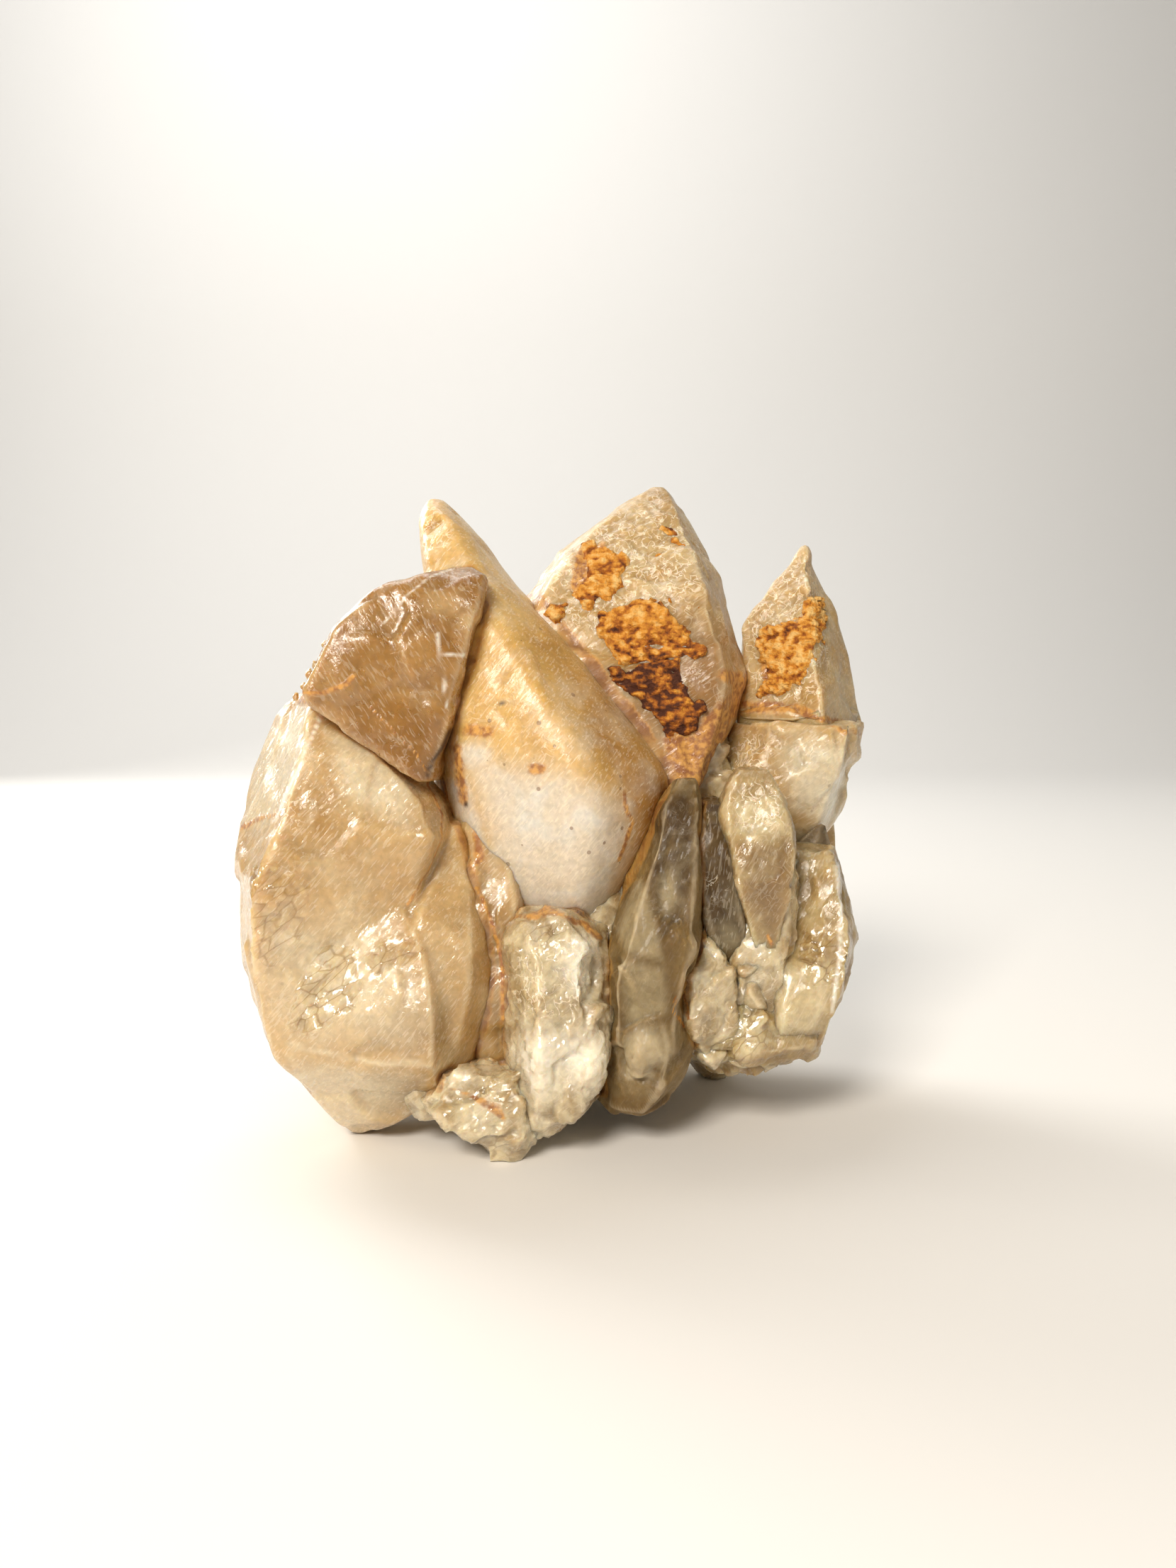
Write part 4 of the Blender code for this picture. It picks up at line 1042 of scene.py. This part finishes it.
# Grows a crystal, or several as one surface. Its steps come from the area of the ellipsoid in its box
def growCrystal(name, members, melt, step):
    parts = [faces[member] for member in members]
    shape = shapes[members[0]]
    low = np.min([part["low"] for part in parts], axis=0)
    a, b, c = ((np.max([part["high"] for part in parts], axis=0) - low) / 2) ** 1.6
    area = 4 * math.pi * ((a * b + a * c + b * c) / 3) ** (1 / 1.6)
    steps = max(8, int(math.sqrt(area / 6) / step))
    roundings = [shapes[member]["rounding"] for member in members]
    points, out, edge, quads = grownSurface(parts, roundings, melt, steps)
    seed = sum(map(ord, members[0]))

    places = inPicture(points)
    sight = points - picture["eye"]
    facing = -(out * sight).sum(axis=1) / np.linalg.norm(sight, axis=1)
    front = easeIn(facing, -0.05, 0.2)
    values = {title: np.zeros(len(points)) for title in markTitles}
    for what, *mark in (mark for member in members for mark in shapes[member].get("marks", ())):
        title, form = what.split()
        values[title] = np.maximum(values[title], markAmount(places, form, *mark) * front)
    values["joint"] = seamStain(members, points)
    # Pale edges: partly wear, partly a painted highlight along them
    values["edge"] = easeIn(edge, 0.03, 0.12) * shape.get("paleEdges", 0.4)

    # Relief: growth waves, broken faces, nicked edges, grooves at the joints, frosted pits, broken glass
    lift = growthRelief(points, seed) * shape.get("waves", 1)
    for number, (slope, size) in enumerate(shape.get("breaks", ())):
        lift = lift + slope * facetNoise(points, size, seed + 20 + number)
    nicked = easeIn(cloudNoise(points, nickMm, seed + 40), -0.1, 0.5)
    lift = lift - nickDepth * easeIn(edge, 0.04, 0.3) * nicked - jointGroove * values["joint"]
    lift = lift - values["frost"] * frostDepth * easeIn(grainNoise(points, frostMm, seed + 50), 0, 0.4)
    lift = lift + values["glass"] * glassDepth * facetNoise(points * (1, 1, 1.5), glassMm, seed + 60)
    points = points + out * lift[:, None]
    for chip in (chip for member in members for chip in shapes[member].get("chips", ())):
        points, drop = chipAway(points, out, places, facing, *chip)
        values["glass"] = np.maximum(values["glass"], easeIn(drop, 0.02, 0.1) * 0.8)
    points[:, 2] = np.maximum(points[:, 2], 0)
    return joinCluster(newMesh(name, points, quads, finishes[shape["finish"]], values))


inUnited = {member for members, melt in united.values() for member in members}
growing = {name: ((name,), 1) for name in shapes if name not in inUnited} | united
for name, (members, melt) in growing.items():
    growCrystal(name, members, melt, gridStep if members[0] in frontCrystals else backStep)
print("crystals grown:", len(growing))


# Many small crystals as one mesh: each is a small ball grid grown to its own faces
def growSmall(title, crystals, steps, finish):
    allPoints, allQuads, allEdges, count = [], [], [], 0
    for number, face in enumerate(crystals):
        points, out, edge, quads = grownSurface([face], [pointRounding], 1, steps)
        lift = cloudNoise(points, 2.4, number, 2) * 0.08 - easeIn(edge, 0.05, 0.3) * 0.1
        allPoints.append(points + out * lift[:, None])
        allQuads.append(quads + count)
        # Pale edges: partly wear, partly a painted highlight along them
        allEdges.append(easeIn(edge, 0.03, 0.12) * 0.3)
        count += len(points)
    points = np.concatenate(allPoints)
    points[:, 2] = np.maximum(points[:, 2], 0)
    values = {name: np.zeros(count) for name in (*markTitles, "joint")}
    values["edge"] = np.concatenate(allEdges)
    return joinCluster(newMesh(title, points, np.concatenate(allQuads), finishes[finish], values))


for name, size in gapPoints.items():
    growSmall(name, [crystalFaces(toothShape(*size, swell=pointSwell))], ballSteps["point"], size[5])
print("points in the gaps grown:", len(gapPoints))

# The druse round the back and the broken lumps of the underside, drawn in the solid's own order
drawn = random.Random(41)
goldenAngle = 137.508
druse = {
    "count": 34, "fromDeg": -20, "sweepDeg": 220, "heights": (11, 58), "length": (9, 15), "width": (5, 9),
    "outward": (0.35, 0.6), "upward": (0.6, 0.9), "sunk": 0.45,
}
underside = {"count": 22, "radius": (4, 7), "clearance": 2.5, "reach": 0.46, "rise": (3, 9)}


# Centre and size of the root at a height, between the two rings next to it
def rootRing(height):
    levels = rootCrystals["root_mass"]["levels"]
    above = min(level for level in levels if level[0] >= height)
    below = max(level for level in levels if level[0] < height)
    share = (height - below[0]) / (above[0] - below[0])
    return [low + (high - low) * share for low, high in zip(below[1:], above[1:])]


druseCrystals = []
for index in range(druse["count"]):
    lowest, highest = druse["heights"]
    height = lowest + (highest - lowest) * (index + 0.5) / druse["count"]
    x, y, width, depth = rootRing(height)
    angle = math.radians(druse["fromDeg"] + (index * goldenAngle) % druse["sweepDeg"])
    away = np.array([math.cos(angle), math.sin(angle), 0])
    skin = np.array([x + away[0] * width / 2, y + away[1] * depth / 2, height])
    length = drawn.uniform(*druse["length"])
    girth = drawn.uniform(*druse["width"])
    lean = away * drawn.uniform(*druse["outward"]) + (0, 0, drawn.uniform(*druse["upward"]))
    lean = lean / np.linalg.norm(lean)
    foot = skin - away * girth * druse["sunk"] - lean * length / 3
    turn = drawn.uniform(0, 360 / toothSides)
    point = toothShape(foot + lean * length, foot, girth, girth, turn, "", pointSwell)
    druseCrystals.append(crystalFaces(point))
growSmall("back_druse", druseCrystals, ballSteps["druse"], "pale yellow")


# Flat faces of an angular lump: seeded places on a ball
def lumpFaces(middle, radius, rng, count=14):
    corners = []
    for _ in range(count):
        way = np.array([rng.gauss(0, 1) for _ in range(3)])
        corners.append(np.array(middle) + way / np.linalg.norm(way) * radius)
    return facesRound(np.array(corners))


x, y, width, depth = rootCrystals["root_mass"]["levels"][-2][1:]
lumps = []
for index in range(underside["count"]):
    angle = math.radians(index * goldenAngle)
    reach = math.sqrt((index + 0.5) / underside["count"]) * underside["reach"]
    radius = drawn.uniform(*underside["radius"])
    lift = underside["clearance"] + radius + reach * drawn.uniform(*underside["rise"])
    middle = (x + math.cos(angle) * width * reach, y + math.sin(angle) * depth * reach, lift)
    lumps.append(lumpFaces(middle, radius, drawn))
growSmall("underside_lumps", lumps, ballSteps["lump"], "granular white")

# Broken lumps in the gaps of the front: middle and radius
gapLumps = (
    ((31.7, -19, 28.7), 2.6), ((33.5, -19.5, 24), 3.4), ((30.5, -19.5, 21), 3.2),
    ((26.5, -19, 14.5), 3.2), ((31, -19, 13.5), 3), ((-16, -24, 8.5), 3.4),
    ((-19.5, -24, 6.5), 2.8), ((23, -14, 27), 3), ((36, -16.5, 13), 3),
)
drawn = random.Random(23)
lumps = [lumpFaces(*lump, drawn, 11) for lump in gapLumps]
growSmall("gap_lumps", lumps, ballSteps["lump"], "granular white")

# Crumbled upper edge of the wedge: middle and radius of each crumb, then finer ones scattered round them
wedgeCrumbs = (
    ((-30, -13, 85.5), 2.4), ((-33, -14, 82.5), 2.6), ((-35.5, -13.5, 80), 2.4), ((-37, -15, 76.5), 2.4),
    ((-38.5, -13, 73), 2.2),
)
drawn = random.Random(7)
crumbs = [lumpFaces(*crumb, drawn) for crumb in wedgeCrumbs]
for middle, radius in wedgeCrumbs:
    for _ in range(7):
        spread = np.array([drawn.gauss(0, 1.5), drawn.gauss(-1.5, 1), drawn.gauss(-0.6, 1.3)])
        crumbs.append(lumpFaces(np.array(middle) + spread, drawn.uniform(0.6, 1.2), drawn))
growSmall("wedge_crumbs", crumbs, ballSteps["crumb"], "smoky")
print("druse, gap lumps and crumbs grown:", len(druseCrystals), len(lumps), len(crumbs))

# Iron crust on the two back teeth: outlines of its patches in the picture, thickness and grain in mm,
# raggedness in pixels, and how much darker each patch is
crusts = {
    "back_tooth_crust": {
        "on": "back_tooth", "thick": 0.9, "grain": 0.9, "ragged": 14, "darker": (-0.15, 0.12, 0.6, 0, -0.2),
        "patches": (
            ((752, 700), (778, 690), (800, 722), (796, 745), (775, 762), (745, 768), (728, 752), (742, 730)),
            ((762, 800), (780, 778), (815, 762), (850, 770), (880, 800), (894, 826), (890, 838), (852, 842),
             (790, 856)),
            ((792, 858), (868, 838), (880, 870), (894, 905), (888, 938), (855, 940), (830, 920), (806, 885)),
            ((856, 672), (868, 670), (872, 690), (864, 698), (855, 688)),
            ((700, 770), (722, 770), (730, 790), (712, 792)),
        ),
    },
    "right_tooth_crust": {
        "on": "right_tooth", "thick": 0.6, "grain": 0.8, "ragged": 13, "darker": (-0.15,),
        "patches": (
            ((965, 816), (981, 801), (1012, 793), (1032, 769), (1049, 769), (1043, 816), (1028, 848),
             (1016, 871), (993, 887), (973, 887), (977, 863), (965, 832)),
        ),
    },
}
crustStep = 1.7  # pixels of the picture between the points of a crust
crustMargin = 22                        # pixels of its sheets past the outline
crustDepth = 2                          # mm that its inner sheet lies inside the tooth


# Crust: two sheets of points, the outer following the tooth with grains on it and sinking into the tooth
# past the ragged outline, the inner inside the tooth, closed round the rim
def growCrust(name, crust):
    tooth = crust["on"]
    seed = sum(map(ord, tooth))
    sheets, quads, hollowShades, count = [], [], [], 0
    for number, (outline, darker) in enumerate(zip(crust["patches"], crust["darker"])):
        corners = np.array(outline, float)
        low, high = corners.min(axis=0) - crustMargin, corners.max(axis=0) + crustMargin
        rows, columns = (int((high[n] - low[n]) / crustStep) + 2 for n in (1, 0))
        down, across = np.meshgrid(
            np.linspace(low[1], high[1], rows), np.linspace(low[0], high[0], columns), indexing="ij",
        )
        places = np.stack([across.ravel(), down.ravel()], axis=1)
        centre = corners.mean(axis=0)
        for _ in range(6):
            hit = seenOn(faces[tooth], places, shapes[tooth]["rounding"])[2]
            places = np.where(hit[:, None], places, centre + (places - centre) * 0.8)
        points, out, _ = seenOn(faces[tooth], places, shapes[tooth]["rounding"])
        inset = insideBy(places, outline) + cloudNoise(points, 3.2, number, 5) * crust["ragged"]
        stretched = points * (0.5, 1, 1.3)
        grain = grainNoise(stretched, crust["grain"], seed + 70, 0.8)
        coarse = cloudNoise(points * (0.6, 1, 1.6), 3.4, seed + 80, 2)
        fine = grainNoise(stretched, crust["grain"] * 0.6, seed + 75, 0.8)
        thick = crust["thick"] * (0.6 + 0.9 * coarse) - 0.7 * grain - 0.25 * fine + 0.45
        thick = thick + 0.12 * facetNoise(points * (0.6, 1, 1.5), 1.6, seed + 90)
        lift = growthRelief(points, seed) + np.where(inset > -6, thick, 0) * easeIn(inset, -1, 5)
        lift = lift - easeIn(-inset, -2, 4) * 0.7
        front = gridQuads(rows, columns)
        edge = np.concatenate([
            np.arange(columns), np.arange(1, rows) * columns + columns - 1,
            (rows - 1) * columns + np.arange(columns - 1)[::-1], np.arange(1, rows - 1)[::-1] * columns,
        ])
        after = np.roll(edge, -1)
        wall = np.stack([edge, after, after + rows * columns, edge + rows * columns], axis=1)
        quads.append(np.concatenate([front, front[:, ::-1] + rows * columns, wall]) + count)
        sheets.append(np.concatenate([points + out * lift[:, None], points - out * crustDepth]))
        # Painted shade in the hollows between the grains, plus each patch's own darkening
        hollow_shade = easeIn(grain - coarse * 0.3, 0, 0.5) * 0.6 + darker
        hollowShades.append(np.concatenate([hollow_shade, np.zeros(len(points))]))
        count += 2 * rows * columns
    values = {"hollow_shade": np.concatenate(hollowShades)}
    return joinCluster(newMesh(name, np.concatenate(sheets), np.concatenate(quads), crustFinish, values))


for name, crust in crusts.items():
    growCrust(name, crust)
print("crusts grown:", len(crusts))

# Floor and backdrop: one pale sweep, a level floor that turns up behind in a quarter round. A profile in
# metres carried along x
sweep = {"width": 3, "front": -1.6, "wall": 1.3, "round": 0.5, "high": 2.2}
turns = np.radians(np.linspace(0, 90, 17))
roundY, roundZ = sweep["wall"] - sweep["round"] * (1 - np.sin(turns)), sweep["round"] * (1 - np.cos(turns))
sweepY = np.concatenate([[sweep["front"]], roundY, [sweep["wall"]]])
sweepZ = np.concatenate([[0], roundZ, [sweep["high"]]])
sweepX = np.linspace(-sweep["width"] / 2, sweep["width"] / 2, 3)
profile = np.stack([np.zeros(len(sweepY)), sweepY, sweepZ], axis=1)
places = (profile[:, None] + np.outer(sweepX, (1, 0, 0))).reshape(-1, 3)
paperFinish, paperShader, _ = newFinish("matt background paper")
giveInputs(paperShader, {"Base Color": hexColour("#ECEAE6"), "Roughness": 0.85})
paperQuads = gridQuads(len(sweepY), len(sweepX))[:, ::-1]
paper = newMesh("paper_sweep", places / mm + packedMiddle, paperQuads, paperFinish)

# Studio lights: a large soft one high at the left, a window behind at the left, a weak one at the right.
# Place, where it looks, size, watts and colour
lights = {
    "soft key": ((-0.24, -0.62, 0.48), (0, 0, 0.055), 0.24, 6.1, "#FFF6EA"),
    "window behind": ((-0.5, 0.45, 0.42), (0, 0, 0.06), 0.35, 3.6, "#FFFDF8"),
    "weak fill": ((0.7, -0.5, 0.35), (0, 0, 0.055), 0.6, 0.9, "#FFEFD8"),
    "paper light": ((-0.3, 0.5, 1.1), (0, 1.3, 0.3), 0.8, 9.5, "#FFFFFF"),
}
for title, (place, target, size, watts, colour) in lights.items():
    lamp = bpy.data.lights.new(title, "AREA")
    lamp.shape = "SQUARE"
    lamp.size = size
    lamp.energy = watts
    lamp.color = hexColour(colour)[:3]
    holder = bpy.data.objects.new(title, lamp)
    bpy.context.scene.collection.objects.link(holder)
    holder.location = place
    back = np.array(place) - target
    holder.rotation_euler = (math.acos(back[2] / np.linalg.norm(back)), 0, math.atan2(back[0], -back[1]))
world = bpy.data.worlds.new("pale room")
bpy.context.scene.world = world
world.use_nodes = True
giveInputs(world.node_tree.nodes["Background"], {"Color": hexColour("#F4F1EC"), "Strength": 0.18})
bpy.context.scene.view_settings.view_transform = "Standard"
print("stage and lights set")

# Camera: where the picture is taken from, with a lens of its focal length
filmMm = 36
camera = bpy.data.objects.new("camera", bpy.data.cameras.new("camera"))
bpy.context.scene.collection.objects.link(camera)
camera.location = (picture["eye"] - packedMiddle) * mm
camera.rotation_euler = (math.radians(90 - picture["tiltDeg"]), 0, 0)
camera.data.sensor_width = filmMm
camera.data.lens = filmMm * picture["focal"] / picture["high"]
camera.data.clip_start = 0.01
bpy.context.scene.camera = camera
